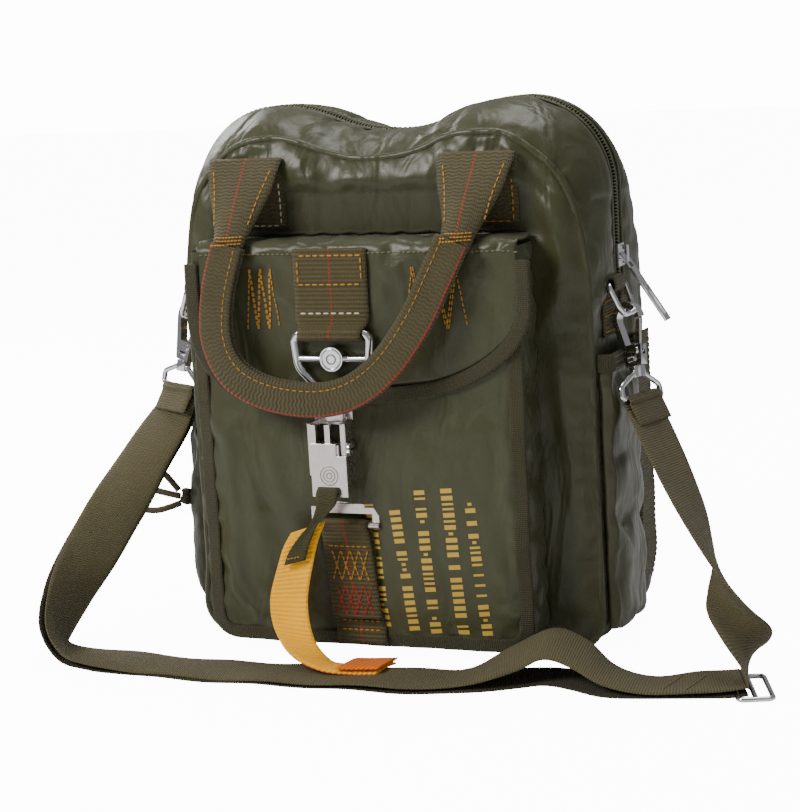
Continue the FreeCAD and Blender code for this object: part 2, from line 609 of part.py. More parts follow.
def hooks():
    for name, rod_point, bar_point in (("right", RIGHT_ROD, RIGHT_BAR), ("left", LEFT_ROD, LEFT_BAR)):
        for piece, maker in (("loop", hook_loop), ("body", hook_body), ("rivet", hook_rivet), ("gate", hook_gate)):
            across = (LOOP_ACROSS if piece == "loop" else HOOK_ACROSS)[name]
            place = hook_frame(rod_point, bar_point, across)
            shape = maker()
            shape.Placement = place
            save(name + "_hook_" + piece, shape)
        print(name, "hook: bar", bar_point, "up", (rod_point - bar_point).normalize(),
              "rivet", place.multVec(vec(2.8, 0, 26.6)), "gate axis", place.Rotation.multVec(Y))


# Shoulder strap --------------------------------------------------------------------------------------------

def shoulder_strap():
    """Doubled webbing from the left hook to the slider buckle on the ground, then a single run to the right hook."""
    half = STRAP_WIDTH / 2
    left = [(vec(-146.6, -19.8, 136.6), vec(-0.86, 0.5, 0.02)), (vec(-151, -27, 126), vec(-0.86, 0.4, 0.2)),
            (vec(-162, -45, 103), vec(-0.9, 0.1, 0.2)), (vec(-170, -65, 80), vec(-0.85, -0.35, 0.3)),
            (vec(-178, -88, 55), vec(-0.65, -0.6, 0.4)), (vec(-184, -106, 35), vec(-0.3, -0.8, 0.5)),
            (vec(-186, -119, 17), vec(0.1, -0.9, 0.42)), (vec(-178, -124, 7.5), vec(0.35, -0.92, 0.1)),
            (vec(-160, -125, 4.2), vec(0.3, -0.95, 0)), (vec(-135, -125, 3.6), vec(0.15, -0.98, 0)),
            (vec(-95, -127, 3.4), vec(0.05, -1, 0)), (vec(-50, -128, 3.4), vec(0.05, -1, 0)),
            (vec(0, -129, 3.4), vec(0.05, -1, 0)), (vec(40, -127, 3.4), vec(0.1, -0.99, 0)),
            (vec(68, -120, 4.5), vec(0.25, -0.96, 0)), (vec(90, -108, 13), vec(0.3, -0.93, -0.1)),
            (vec(108, -102, 21), vec(0.1, -0.97, -0.25)), (vec(126, -104, 17), vec(0.05, -0.98, -0.2)),
            (vec(145, -111, 8), vec(0.1, -0.99, 0)), (vec(168, -113, 4), vec(0.15, -0.98, 0)),
            (vec(192, -105, 4), vec(0.3, -0.95, 0)), (vec(205, -100, 4), vec(0.35, -0.93, 0))]
    centres = [station[0] for station in left]
    halves = [station[1].normalize() * half for station in left]
    save("strap_upper_run", ribbon(smooth(centres, 3), smooth(halves, 3), WEBBING))
    under, under_halves = [], []
    for index, (centre, across) in enumerate(zip(centres, halves)):
        ahead = centres[min(index + 1, len(centres) - 1)] - centres[max(index - 1, 0)]
        behind = ahead.cross(across).normalize()
        floor = centre.z < 30 and centre.x > -165
        under.append(vec(centre.x, centre.y, 1.3) if floor else centre + behind * STRAP_GAP)
        under_halves.append(vec(across.x, across.y, 0).normalize() * half if floor else across)
    save("strap_lower_run", ribbon(smooth(under, 3), smooth(under_halves, 3), WEBBING))
    right = [(vec(214, -98, 5), vec(0.34, -0.94, 0)), (vec(215, -94, 13), vec(0.1, -0.99, 0)),
             (vec(213, -90, 24), vec(-0.55, -0.8, 0.2)), (vec(209, -86, 34), vec(-0.97, -0.1, 0.2)),
             (vec(204, -82, 44), vec(-0.8, 0.6, 0.1)), (vec(196, -76, 60), vec(-0.3, 0.95, 0)),
             (vec(184, -66, 80), vec(0.05, 0.99, 0)), (vec(171, -55, 99), vec(0.22, 0.97, 0)),
             (vec(158, -43, 119), vec(0.28, 0.96, 0)), (vec(149.5, -34, 132), vec(0.28, 0.96, 0)),
             (vec(146.9, -31.4, 136.0), vec(0.28, 0.96, 0))]
    save("strap_right_run", ribbon(smooth([s[0] for s in right], 2),
                                   smooth([s[1].normalize() * half for s in right], 2), WEBBING))


def strap_loops():
    """The strap's folded ends round the two hook bars."""
    tubes = []
    for name, rod_point, bar_point in (("left", LEFT_ROD, LEFT_BAR), ("right", RIGHT_ROD, RIGHT_BAR)):
        place = hook_frame(rod_point, bar_point, LOOP_ACROSS[name])
        half = STRAP_WIDTH / 2 - 1
        tube = Part.makeCylinder(3.7, 2 * half, vec(-half, 0, 0), X).cut(
            Part.makeCylinder(2.0, 2 * half + 2, vec(-half - 1, 0, 0), X))
        tube.Placement = place
        tubes.append(tube)
    save("strap_end_loops", Part.makeCompound(tubes))


def buckle():
    """Three-bar slider buckle lying on the ground at the strap's right end."""
    wide, deep, radius = STRAP_WIDTH / 2 + 3, 9.0, 1.4
    points = [vec(-deep, -wide, 0), vec(deep, -wide, 0), vec(deep, wide, 0), vec(-deep, wide, 0)]
    frame = bent_rod(points, 3, radius, closed=True)
    middle = rod(vec(0, -wide, 0), vec(0, wide, 0), radius)
    shape = join([frame, middle])
    shape.rotate(vec(0, 0, 0), Z, 20)
    shape.translate(vec(218, -100, 1.5))
    save("slider_buckle", shape)


# Drawcord ---------------------------------------------------------------------------------------------------

CORD_LOOP = [vec(-156.6, -11, 77.5), vec(-161, -12, 84), vec(-168, -14, 92), vec(-177, -16, 97), vec(-186, -17, 93),
             vec(-185, -16, 84), vec(-176, -14, 79), vec(-166, -12, 76), vec(-156.3, -11, 74)]
CORD_TAIL = [vec(-156.3, -11, 69.5), vec(-163, -13, 67), vec(-172, -16, 65), vec(-182, -18, 67), vec(-190, -19, 73)]


def cord(name, route):
    """A limp cord as straight runs joined by arcs as large as the runs allow."""
    radii = [0.0]
    for before, here, after in zip(route, route[1:], route[2:]):
        run = min((here - before).Length, (after - here).Length)
        turn = (here - before).getAngle(after - here)
        radii.append(0.45 * run / math.tan(turn / 2))
    print(name, "bend radii", [round(r, 1) for r in radii[1:]])
    path = rounded_path(route, radii + [0.0])
    shape = bent_rod(route, radii + [0.0], CORD_RADIUS)
    print(name, "length", round(path.Length, 1), "volume ratio",
          round(shape.Volume / (path.Length * math.pi * CORD_RADIUS ** 2), 4))
    save(name, shape)


def drawcord():
    knot = Part.makeCylinder(5.0, 9.0, vec(-SIDE_X - POUCH_OUT, -11, 74), -X)
    knot = knot.makeFillet(2.0, [e for e in knot.Edges if e.Closed and e.Vertexes[0].X < -SIDE_X - POUCH_OUT - 5])
    save("drawcord_knot", knot)
    cord("drawcord_loop", CORD_LOOP)
    cord("drawcord_tail", CORD_TAIL)


body_panels()
zipper()
zip_slider()
zip_pull()
front_pocket()
flap()
flap_webbing()
v_ring()
lower_webbing()
snap()
snap_lever()
release_straps()
handle_patches()
handle_folds(-1, "front_handle_fold")
handle_folds(1, "rear_handle_fold")
handle("front", FRONT_GRIP, -1)
handle("rear", REAR_GRIP, 1)
side_webbing()
side_pockets()
hooks()
shoulder_strap()
strap_loops()
buckle()
drawcord()
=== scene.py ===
import math
import random

import bpy
import numpy as np
from mathutils import Matrix, Vector, noise
from mathutils.bvhtree import BVHTree


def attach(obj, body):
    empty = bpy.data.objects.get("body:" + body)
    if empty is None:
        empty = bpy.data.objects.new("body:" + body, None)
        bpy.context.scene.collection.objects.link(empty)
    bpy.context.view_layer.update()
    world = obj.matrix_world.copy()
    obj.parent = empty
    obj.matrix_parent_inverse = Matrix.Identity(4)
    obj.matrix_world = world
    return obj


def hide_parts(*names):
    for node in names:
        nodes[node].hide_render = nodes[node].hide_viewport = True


# Flight bag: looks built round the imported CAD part.  Helpers take millimetres, the scene is in metres.
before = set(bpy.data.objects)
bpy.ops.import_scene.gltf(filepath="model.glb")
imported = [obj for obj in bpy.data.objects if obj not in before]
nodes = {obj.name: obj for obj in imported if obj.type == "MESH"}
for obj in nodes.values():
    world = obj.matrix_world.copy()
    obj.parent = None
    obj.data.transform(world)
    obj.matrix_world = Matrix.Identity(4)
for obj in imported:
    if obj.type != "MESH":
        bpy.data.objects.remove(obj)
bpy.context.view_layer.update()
MM = 0.001
random.seed(7)
noise.seed_set(7)
BODY_X, BODY_Y = 125.0, 50.0
POCKET_Y = -80.0
RING_X = -14.0
HANDLE_X = (-74.0, 65.0)
POCKET_X, POCKET_HALF = -4.5, 97.5
FLAP_X, FLAP_HALF = -1.5, 95.5
FLAP_BACK_Y, FLAP_TOP_Z = -56.8, 237.2
FLAP_SHELF, FLAP_TURN = 20.0, 6.5
FLAP_BEND = FLAP_TURN * math.pi / 2


# Camera -------------------------------------------------------------------------------------------

def set_camera():
    azimuth, elevation, roll = math.radians(22), math.radians(10), math.radians(-3.29)
    back = Vector((math.sin(azimuth) * math.cos(elevation), -math.cos(azimuth) * math.cos(elevation),
                   math.sin(elevation)))
    right = Vector((math.cos(azimuth), math.sin(azimuth), 0))
    up = back.cross(right)
    turned_right = right * math.cos(roll) + up * math.sin(roll)
    turned_up = up * math.cos(roll) - right * math.sin(roll)
    data = bpy.data.cameras.new("camera")
    data.lens = 97.94
    data.sensor_width = 36
    camera = bpy.data.objects.new("camera", data)
    camera.matrix_world = Matrix.Translation((0.4717, -1.1952, 0.3574)) @ Matrix(
        (turned_right, turned_up, back)).transposed().to_4x4()
    bpy.context.collection.objects.link(camera)
    bpy.context.scene.camera = camera


# Materials ----------------------------------------------------------------------------------------

class Shader:
    """A material with its principled shader, and short ways to add nodes."""

    def __init__(self, name, color, rough, metal=0.0, **more):
        self.material = bpy.data.materials.new(name)
        self.material.use_nodes = True
        self.tree = self.material.node_tree
        self.out = self.tree.nodes["Principled BSDF"]
        self.put(self.out, "Base Color", (*color, 1))
        self.put(self.out, "Roughness", rough)
        self.put(self.out, "Metallic", metal)
        for key, value in more.items():
            self.put(self.out, key.replace("_", " "), value)
        self.material.diffuse_color = (*color, 1)

    def put(self, node, key, value):
        if hasattr(value, "is_linked"):
            self.tree.links.new(value, node.inputs[key])
        else:
            node.inputs[key].default_value = value

    def node(self, kind, out=0, props=None, **inputs):
        made = self.tree.nodes.new("ShaderNode" + kind)
        for key, value in (props or {}).items():
            setattr(made, key, value)
        for key, value in inputs.items():
            self.put(made, int(key[1:]) if key[0] == "i" and key[1:].isdigit() else key.replace("_", " "),
                     value)
        return made.outputs[out]

    def math(self, how, a, b=0.0, c=0.0):
        return self.node("Math", props={"operation": how}, i0=a, i1=b, i2=c)

    def uv(self):
        split = self.tree.nodes.new("ShaderNodeSeparateXYZ")
        self.put(split, "Vector", self.node("UVMap"))
        return split.outputs[0], split.outputs[1]

    def point(self):
        return self.tree.nodes.new("ShaderNodeTexCoord").outputs["Object"]

    def bump(self, height, strength, distance, under=None):
        made = self.tree.nodes.new("ShaderNodeBump")
        self.put(made, "Strength", strength)
        self.put(made, "Distance", distance * MM)
        self.put(made, "Height", height)
        if under is not None:
            self.put(made, "Normal", under)
        return made.outputs[0]

    def mix(self, factor, a, b):
        made = self.tree.nodes.new("ShaderNodeMix")
        made.data_type = "RGBA"
        self.put(made, 0, factor)
        self.put(made, 6, a if hasattr(a, "is_linked") else (*a, 1))
        self.put(made, 7, b if hasattr(b, "is_linked") else (*b, 1))
        return made.outputs[2]

    def ramp(self, value, stops):
        made = self.tree.nodes.new("ShaderNodeValToRGB")
        ramp = made.color_ramp
        while len(ramp.elements) < len(stops):
            ramp.elements.new(0.5)
        for element, (place, level) in zip(ramp.elements, stops):
            element.position = place
            element.color = (level, level, level, 1) if isinstance(level, (int, float)) else (*level, 1)
        self.put(made, 0, value)
        return made.outputs[0]


def nylon(name, tint=1.0):
    """Coated nylon: satin, finely crumpled at several sizes, with a faint weave."""
    color = tuple(c * tint for c in (0.050, 0.051, 0.0205))
    s = Shader(name, color, 0.40, Specular_IOR_Level=0.42, Sheen_Weight=0.08, Sheen_Roughness=0.4)
    p = s.point()
    long = s.node("Mapping", Vector=p, Scale=(1.0, 1.0, 0.42))
    large = s.node("TexNoise", Vector=long, Scale=34.0, Detail=2.0, Roughness=0.45, Distortion=1.6)
    crease = s.node("TexNoise", Vector=p, Scale=70.0, Detail=4.0, Roughness=0.6, Distortion=1.2)
    ridges = s.math("ABSOLUTE", s.math("SUBTRACT", crease, 0.5))
    fine = s.node("TexNoise", Vector=p, Scale=1500.0, Detail=1.0)
    normal = s.bump(large, 0.42, 7.0)
    normal = s.bump(ridges, 0.14, 2.6, normal)
    normal = s.bump(fine, 0.05, 0.4, normal)
    s.put(s.out, "Normal", normal)
    tone = s.node("TexNoise", Vector=p, Scale=11.0, Detail=3.0)
    dark, light = tuple(c * 0.8 for c in color), tuple(c * 1.22 for c in color)
    s.put(s.out, "Base Color", s.mix(tone, dark, light))
    s.put(s.out, "Roughness", s.node("MapRange", Value=crease, From_Min=0.3, From_Max=0.7, To_Min=0.33,
                                     To_Max=0.44))
    return s.material


def webbing(name, color, rib=2.0, slant=1.0, rough=0.62, depth=0.45, edge=None, line=None, line_at=0.0,
            line_width=0.5, rib_shade_strength=0.5):
    """Woven tape: UVs are millimetres across (u) and along (v), with herringbone ribs and one tracer; the rib
    relief is also painted into the colour as shade in the grooves and highlight on the ridges.
    """
    s = Shader(name, color, rough, Specular_IOR_Level=0.28, Sheen_Weight=0.08, Sheen_Roughness=0.5)
    u, v = s.uv()
    zig = s.math("PINGPONG", s.math("ADD", u, 100.0), 3.0)
    phase = s.math("ADD", s.math("MULTIPLY", v, 6.2832 / rib), s.math("MULTIPLY", zig, slant))
    wave = s.math("SINE", phase)
    cross = s.math("SINE", s.math("MULTIPLY", u, 6.2832 / 0.9))
    height = s.math("ADD", s.math("MULTIPLY", wave, 0.6), s.math("MULTIPLY", cross, 0.3))
    normal = s.bump(height, 0.75, depth)
    fuzz = s.node("TexNoise", Vector=s.point(), Scale=900.0, Detail=2.0)
    s.put(s.out, "Normal", s.bump(fuzz, 0.3, 0.3, normal))
    # Painted shade and highlight: the colour follows the rib height, darker in the grooves and lighter on the
    # ridges; the wear noise below is random tone.
    rib_shade_and_wear = s.math("MULTIPLY_ADD", height, 0.5 * rib_shade_strength, 1.0 - 0.25 * rib_shade_strength)
    wear = s.node("TexNoise", Vector=s.point(), Scale=60.0, Detail=4.0)
    rib_shade_and_wear = s.math("MULTIPLY", rib_shade_and_wear, s.math("MULTIPLY_ADD", wear, 0.5, 0.75))
    base = s.mix(rib_shade_and_wear, tuple(c * 0.35 for c in color), tuple(c * 1.35 for c in color))
    if line is not None:
        near = s.math("LESS_THAN", s.math("ABSOLUTE", s.math("SUBTRACT", u, line_at)), line_width)
        dash = s.math("GREATER_THAN", s.math("SINE", s.math("MULTIPLY", v, 6.2832 / 2.2)), -0.35)
        base = s.mix(s.math("MULTIPLY", near, dash), base, line)
    s.put(s.out, "Base Color", base)
    return s.material


def metal(name, color, rough, scratch=0.0):
    s = Shader(name, color, rough, 1.0)
    p = s.point()
    smudge = s.node("TexNoise", Vector=p, Scale=120.0, Detail=4.0)
    s.put(s.out, "Roughness", s.node("MapRange", Value=smudge, From_Min=0.3, From_Max=0.7,
                                     To_Min=max(rough - 0.06, 0.03), To_Max=rough + 0.1))
    s.put(s.out, "Normal", s.bump(s.node("TexNoise", Vector=p, Scale=380.0, Detail=2.0), 0.12,
                                  0.15 + scratch))
    return s.material


def thread(name, color):
    s = Shader(name, color, 0.55, Specular_IOR_Level=0.4)
    s.put(s.out, "Normal", s.bump(s.node("TexNoise", Vector=s.point(), Scale=2600.0, Detail=1.0), 0.5, 0.2))
    return s.material


def make_materials():
    olive = (0.052, 0.042, 0.018)
    m = {
        "nylon": nylon("olive_nylon"),
        # Darker copy of the nylon: painted shade for the inside of the bag; no part uses it.
        "nylon_painted_shade": nylon("olive_nylon_painted_shade", 0.55),
        "webbing": webbing("olive_webbing", olive, 2.2, 1.0),
        "flap_webbing": webbing("olive_flap_webbing", (0.082, 0.067, 0.026), 2.4, 0.0, depth=0.7,
                                line=(0.45, 0.02, 0.02),
                                line_width=0.45, rib_shade_strength=0.8),
        "handle": webbing("olive_handle_webbing", (0.074, 0.062, 0.026), 2.3, 0.9, depth=0.6,
                          line=(0.45, 0.025, 0.02),
                          line_at=0.0, line_width=0.45, rib_shade_strength=0.75),
        "strap": webbing("olive_strap", (0.090, 0.076, 0.034), 1.5, 0.35, depth=0.5, rib_shade_strength=0.6),
        # Darker copy of the strap webbing: painted shade for the run that lies under the upper run.
        "strap_dark": webbing("olive_strap_painted_shade", (0.034, 0.028, 0.013), 1.5, 0.35, depth=0.5, rib_shade_strength=0.6),
        "binding": webbing("olive_binding", (0.040, 0.036, 0.016), 1.1, 0.0, depth=0.3, rib_shade_strength=0.5),
        "side_webbing": webbing("olive_side_webbing", (0.062, 0.052, 0.021), 1.8, 0.4, depth=0.5),
        "yellow": webbing("yellow_webbing", (0.95, 0.44, 0.003), 2.6, 0.0, rough=0.5, depth=0.5,
                          rib_shade_strength=0.25),
        "orange": webbing("orange_webbing", (0.72, 0.15, 0.001), 2.6, 0.0, rough=0.5, depth=0.5,
                          rib_shade_strength=0.25),
        "tab": webbing("green_tab", (0.045, 0.042, 0.014), 1.7, 1.4, depth=0.5),
        "cord": webbing("drawcord", (0.07, 0.06, 0.028), 2.2, 1.2, depth=0.5),
        "chrome": metal("chrome", (0.80, 0.80, 0.82), 0.10),
        "satin": metal("satin_metal", (0.74, 0.68, 0.66), 0.27, 0.1),
        # Dark metal for the screw slot: painted shade of the recess.
        "dark_metal": metal("dark_metal", (0.22, 0.21, 0.20), 0.3),
        "coil": Shader("zip_coil", (0.10, 0.12, 0.06), 0.35, Specular_IOR_Level=0.6).material,
        "gold": thread("gold_thread", (0.52, 0.25, 0.03)),
        "white": thread("white_thread", (0.72, 0.66, 0.52)),
        "red": thread("red_thread", (0.45, 0.03, 0.02)),
        "olive_thread": thread("olive_thread", (0.16, 0.14, 0.07)),
        "print": Shader("print_ink", (0.60, 0.38, 0.05), 0.6).material,
        "engraving": Shader("engraving", (0.30, 0.26, 0.25), 0.5, 0.6).material,
        # Near-black colour for the inside: painted shade; no part uses it.
        "painted_shade_black": Shader("painted_shade_inside", (0.008, 0.008, 0.006), 0.8).material,
    }
    return m


# Mesh helpers -------------------------------------------------------------------------------------


def mesh_object(name, verts, faces, material, body, uvs=None, smooth=True, stands_for=(), slot=None):
    """An object from points in millimetres, of one or more named materials, that rides on a CAD body."""
    data = bpy.data.meshes.new(name)
    data.from_pydata([tuple(c * MM for c in v) for v in verts], [], faces)
    if uvs is not None:
        layer = data.uv_layers.new(name="UVMap").data
        for loop, corner in zip(layer, data.loops):
            loop.uv = uvs[corner.vertex_index]
    if smooth:
        data.shade_smooth()
    keys = material if isinstance(material, list) else [material]
    for key in keys:
        data.materials.append(MATERIALS[key])
    obj = bpy.data.objects.new(name, data)
    bpy.context.collection.objects.link(obj)
    if body:
        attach(obj, body)
        if stands_for:
            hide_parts(*stands_for)
    return obj


def points_of(obj):
    data = np.empty(len(obj.data.vertices) * 3)
    obj.data.vertices.foreach_get("co", data)
    return data.reshape(-1, 3) / MM


def set_points(obj, points):
    obj.data.vertices.foreach_set("co", (np.asarray(points) * MM).ravel())
    obj.data.update()


def bvh(*objects):
    """A tree over several meshes as they are drawn, in millimetres."""
    verts, faces = [], []
    graph = bpy.context.evaluated_depsgraph_get()
    for obj in objects:
        shown = obj.evaluated_get(graph)
        data = shown.to_mesh()
        start = len(verts)
        verts += [v.co / MM for v in data.vertices]
        faces += [[start + i for i in p.vertices] for p in data.polygons]
        shown.to_mesh_clear()
    return BVHTree.FromPolygons(verts, faces)


def onto(tree, point, direction, offset, reach=60.0):
    """Slides a point along a direction on to the surface, and lifts it off by a distance."""
    start = Vector(point) - Vector(direction) * reach
    hit = tree.ray_cast(start, Vector(direction), reach * 2)
    if hit[0] is None:
        return Vector(point)
    normal = hit[1] if hit[1].dot(Vector(direction)) < 0 else -hit[1]
    return hit[0] + normal * offset


def curve_through(points, spacing):
    """Even stations on a smooth curve through points of any dimension."""
    p = np.array(points, float)
    dense = []
    last = len(p) - 1
    for i in range(last):
        a, b, c, d = p[max(i - 1, 0)], p[i], p[i + 1], p[min(i + 2, last)]
        for k in range(24):
            t = k / 24
            dense.append(0.5 * (2 * b + (c - a) * t + (2 * a - 5 * b + 4 * c - d) * t ** 2
                                + (3 * b - a - 3 * c + d) * t ** 3))
    dense.append(p[last])
    dense = np.array(dense)
    run = np.r_[0, np.cumsum(np.linalg.norm(np.diff(dense[:, :3], axis=0), axis=1))]
    count = max(int(run[-1] / spacing), 2)
    at = np.linspace(0, run[-1], count + 1)
    return np.stack([np.interp(at, run, dense[:, k]) for k in range(dense.shape[1])], 1), at


def heading(rows, i):
    """Which way a path runs at one of its stations."""
    return Vector(rows[min(i + 1, len(rows) - 1)][:3]) - Vector(rows[max(i - 1, 0)][:3])


def ring_faces(rows, n, closed=False):
    """Faces between rings of n points, one ring after another, with end caps unless the row closes."""
    faces = []
    for i in range(rows if closed else rows - 1):
        here, after = i * n, (i + 1) % rows * n
        for k in range(n):
            side = (k + 1) % n
            faces.append((here + k, here + side, after + side, after + k))
    if not closed:
        faces.append(tuple(range(n))[::-1])
        faces.append(tuple((rows - 1) * n + k for k in range(n)))
    return faces


def band(name, stations, thick, material, body, cuts=10, spacing=2.5, curl=None, under=None, ripple=0.0,
         **more):
    """A flat strip swept along stations (centre, half-width vector): rounded edges, UVs in millimetres."""
    rows, at = curve_through([(*c, *h) for c, h in stations], spacing)
    verts, uvs = [], []
    ring = [(u, 1) for u in np.linspace(-1, 1, cuts + 1)] + [(u, -1) for u in np.linspace(1, -1, cuts + 1)]
    for i in range(len(rows)):
        centre, half = Vector(rows[i][:3]), Vector(rows[i][3:6])
        normal = heading(rows, i).cross(half).normalized()
        width = half.length
        bend = curl(at[i] / at[-1]) if curl else 0.0
        for u, side in ring:
            edge = 1.0 - 0.5 * max(0.0, (abs(u) * width - (width - 1.0))) ** 2
            lift = side * thick / 2 * edge + bend * u * u
            if ripple:
                lift += ripple * math.sin(at[i] * 0.11 + u * 1.3 + 0.7) * (0.4 + 0.6 * u * u)
            verts.append(centre + half * u + normal * lift)
            uvs.append((u * width, at[i]))
    slots = [1 if k > cuts and under else 0 for k in range(len(ring))] * (len(rows) - 1) + [0, 0]
    faces = ring_faces(len(rows), len(ring))
    obj = mesh_object(name, verts, faces, [material, under] if under else material, body, uvs, **more)
    obj.data.polygons.foreach_set("material_index", slots)
    return obj


def tube(name, path, radius, material, body, sides=10, spacing=1.5, **more):
    rows, at = curve_through(path, spacing)
    verts, uvs = [], []
    side = None
    for i, row in enumerate(rows):
        here = Vector(row[:3])
        ahead = heading(rows, i).normalized()
        if side is None:
            side = Vector((0.3, 0.5, 0.81)).cross(ahead).cross(ahead).normalized() * -1
        else:
            side = (side - ahead * side.dot(ahead)).normalized()
        other = ahead.cross(side)
        for k in range(sides):
            angle = 2 * math.pi * k / sides
            verts.append(here + (side * math.cos(angle) + other * math.sin(angle)) * radius)
            uvs.append((k * 2 * math.pi * radius / sides, at[i]))
    return mesh_object(name, verts, ring_faces(len(rows), sides), material, body, uvs, **more)


STITCHES = {}


def stitch(tree, path, direction, thread_name, body, pitch=3.4, length=2.5, radius=0.38, lift=0.25):
    """A row of separate stitches along a path, each laid on the surface."""
    rows, at = curve_through(path, 0.8) if len(path) > 2 else (np.linspace(path[0], path[1], max(int(
        math.dist(path[0], path[1]) / 0.8), 2)), None)
    run = np.r_[0, np.cumsum(np.linalg.norm(np.diff(rows, axis=0), axis=1))]
    verts, faces = STITCHES.setdefault((thread_name, body), ([], []))
    place = pitch * 0.3
    while place + length < run[-1]:
        ends = [Vector([np.interp(place + part, run, rows[:, k]) for k in range(3)])
                for part in (0, length / 2, length)]
        if tree is not None:
            ends = [onto(tree, e, direction, lift) for e in ends]
        a, mid, b = ends
        if (b - a).length < length * 2:
            add_capsule(verts, faces, a, mid, b, radius)
        place += pitch


def add_capsule(verts, faces, a, mid, b, radius):
    along = (b - a).normalized()
    side = along.cross(Vector((0.31, 0.52, 0.79))).normalized()
    other = along.cross(side)
    start = len(verts)
    for here, size in ((a, 0.45), (a.lerp(mid, 0.35), 1.0), (mid, 1.1), (mid.lerp(b, 0.65), 1.0), (b, 0.45)):
        for k in range(6):
            angle = k * math.pi / 3
            verts.append(here + (side * math.cos(angle) + other * math.sin(angle)) * radius * size)
    faces += [tuple(start + k for k in face) for face in ring_faces(5, 6)]


def zigzag(low, high, x_low, x_high, count, y, start=0):
    """Corner points of a sewn zigzag between two heights."""
    points = []
    for k in range(count + 1):
        x = x_low + (x_high - x_low) * k / count
        points.append((x, y, high if (k + start) % 2 else low))
    return points


def stitch_lines(tree, corners, direction, thread_name, body, **more):
    for a, b in zip(corners, corners[1:]):
        stitch(tree, [a, b], direction, thread_name, body, **more)


# Cloth --------------------------------------------------------------------------------------------

def outline(inset, step=4.0):
    """The body's front outline (x, z): two ears with a dip between, counter-clockwise from bottom left."""
    drop, span, ear_r, base_r, high, dip = 16.0, 75.0, 50.0, 20.0, 308.0, 292.0
    sweep = 2 * math.atan(drop / span)
    curve = span / (2 * math.sin(sweep))
    quarter = math.pi / 2
    points = []

    def turn(x, z, radius, start, end):
        count = max(int(abs(end - start) * radius / step), 3)
        for k in range(count):
            angle = start + (end - start) * k / count
            points.append((x + radius * math.cos(angle), z + radius * math.sin(angle)))

    def run(x0, z0, x1, z1):
        count = max(int(math.hypot(x1 - x0, z1 - z0) / step), 1)
        for k in range(count):
            points.append((x0 + (x1 - x0) * k / count, z0 + (z1 - z0) * k / count))

    half, foot, ear_x, ear_z = BODY_X - inset, BODY_X - base_r, 75.0, high - ear_r
    run(-foot, inset, foot, inset)
    turn(foot, base_r, base_r - inset, -quarter, 0)
    run(half, base_r, half, ear_z)
    turn(ear_x, ear_z, ear_r - inset, 0, quarter)
    turn(ear_x, high - curve, curve - inset, quarter, quarter + sweep)
    turn(0, dip + curve, curve + inset, -quarter + sweep, -quarter - sweep)
    turn(-ear_x, high - curve, curve - inset, quarter - sweep, quarter)
    turn(-ear_x, ear_z, ear_r - inset, quarter, 2 * quarter)
    run(-half, ear_z, -half, base_r)
    turn(-foot, base_r, base_r - inset, 2 * quarter, 3 * quarter)
    return points


def solid_from(points, y_low, y_high, voxel):
    """A closed evenly meshed solid from an outline and two depths."""
    count = len(points)
    verts = [(x, y_low, z) for x, z in points] + [(x, y_high, z) for x, z in points]
    faces = [tuple(range(count)), tuple(range(2 * count - 1, count - 1, -1))]
    faces += [(k, k + count, (k + 1) % count + count, (k + 1) % count) for k in range(count)]
    return remeshed(mesh_object("cloth_work", verts, faces, "nylon", None), voxel)


def remeshed(obj, voxel):
    modifier = obj.modifiers.new("remesh", "REMESH")
    modifier.mode = "VOXEL"
    modifier.voxel_size = voxel * MM
    data = bpy.data.meshes.new_from_object(obj.evaluated_get(bpy.context.evaluated_depsgraph_get()))
    obj.modifiers.clear()
    obj.data = data
    return obj


CLOTH_STIFFNESS = 6.0
CLOTH_DAMPING = 2


def simulate(obj, pins, pressure, shrink, frames=24, cap=8.0):
    """Lets the cloth swell and crumple between its pinned seams, then keeps the shape it took."""
    rest = points_of(obj)
    group = obj.vertex_groups.new(name="pins")
    for index, weight in enumerate(pins):
        if weight > 0:
            group.add([index], float(weight), "REPLACE")
    modifier = obj.modifiers.new("cloth", "CLOTH")
    s = modifier.settings
    s.quality = 7
    s.mass = 0.002
    s.tension_stiffness = s.compression_stiffness = CLOTH_STIFFNESS
    s.shear_stiffness = CLOTH_STIFFNESS / 2
    s.bending_stiffness = 0.05
    s.tension_damping = s.compression_damping = s.shear_damping = CLOTH_DAMPING
    s.air_damping = 2
    s.use_pressure = True
    s.uniform_pressure_force = pressure
    s.shrink_min = shrink
    s.shrink_max = shrink
    s.vertex_group_mass = "pins"
    s.effector_weights.gravity = 0.15
    modifier.collision_settings.use_collision = False
    modifier.point_cache.frame_start = 1
    modifier.point_cache.frame_end = frames
    scene = bpy.context.scene
    for number in range(1, frames + 1):
        scene.frame_set(number)
    shown = obj.evaluated_get(bpy.context.evaluated_depsgraph_get())
    data = shown.to_mesh()
    moved = np.array([v.co for v in data.vertices]) / MM
    shown.to_mesh_clear()
    obj.modifiers.clear()
    scene.frame_set(1)
    shift = moved - rest
    size = np.linalg.norm(shift, axis=1)
    size[size < 1e-6] = 1e-6
    print("cloth", obj.name, "moved mean", round(float(size.mean()), 2), "max",
          round(float(size.max()), 2))
    shift *= (np.minimum(size, cap * np.tanh(size / cap)) / size)[:, None]
    set_points(obj, rest + shift)
    return rest


def fold(points, rest, a, b, width, height, direction, mask=None):
    """Adds a soft ridge along a line from a to b (x, z), fading at its ends."""
    a, b = np.array(a, float), np.array(b, float)
    along = b - a
    length = np.linalg.norm(along)
    along /= length
    flat = rest[:, [0, 2]] - a
    t = flat @ along / length
    side = flat[:, 0] * along[1] - flat[:, 1] * along[0]
    side = side + 3.0 * np.sin(t * 5 + a[0])
    shape = np.exp(-(side / width) ** 2) - 0.55 * np.exp(-((side - 1.6 * width) / width) ** 2)
    fade = np.clip(t * 4, 0, 1) * np.clip((1 - t) * 4, 0, 1)
    amount = height * shape * fade
    if mask is not None:
        amount = amount * mask
    return points + amount[:, None] * np.array(direction, float)


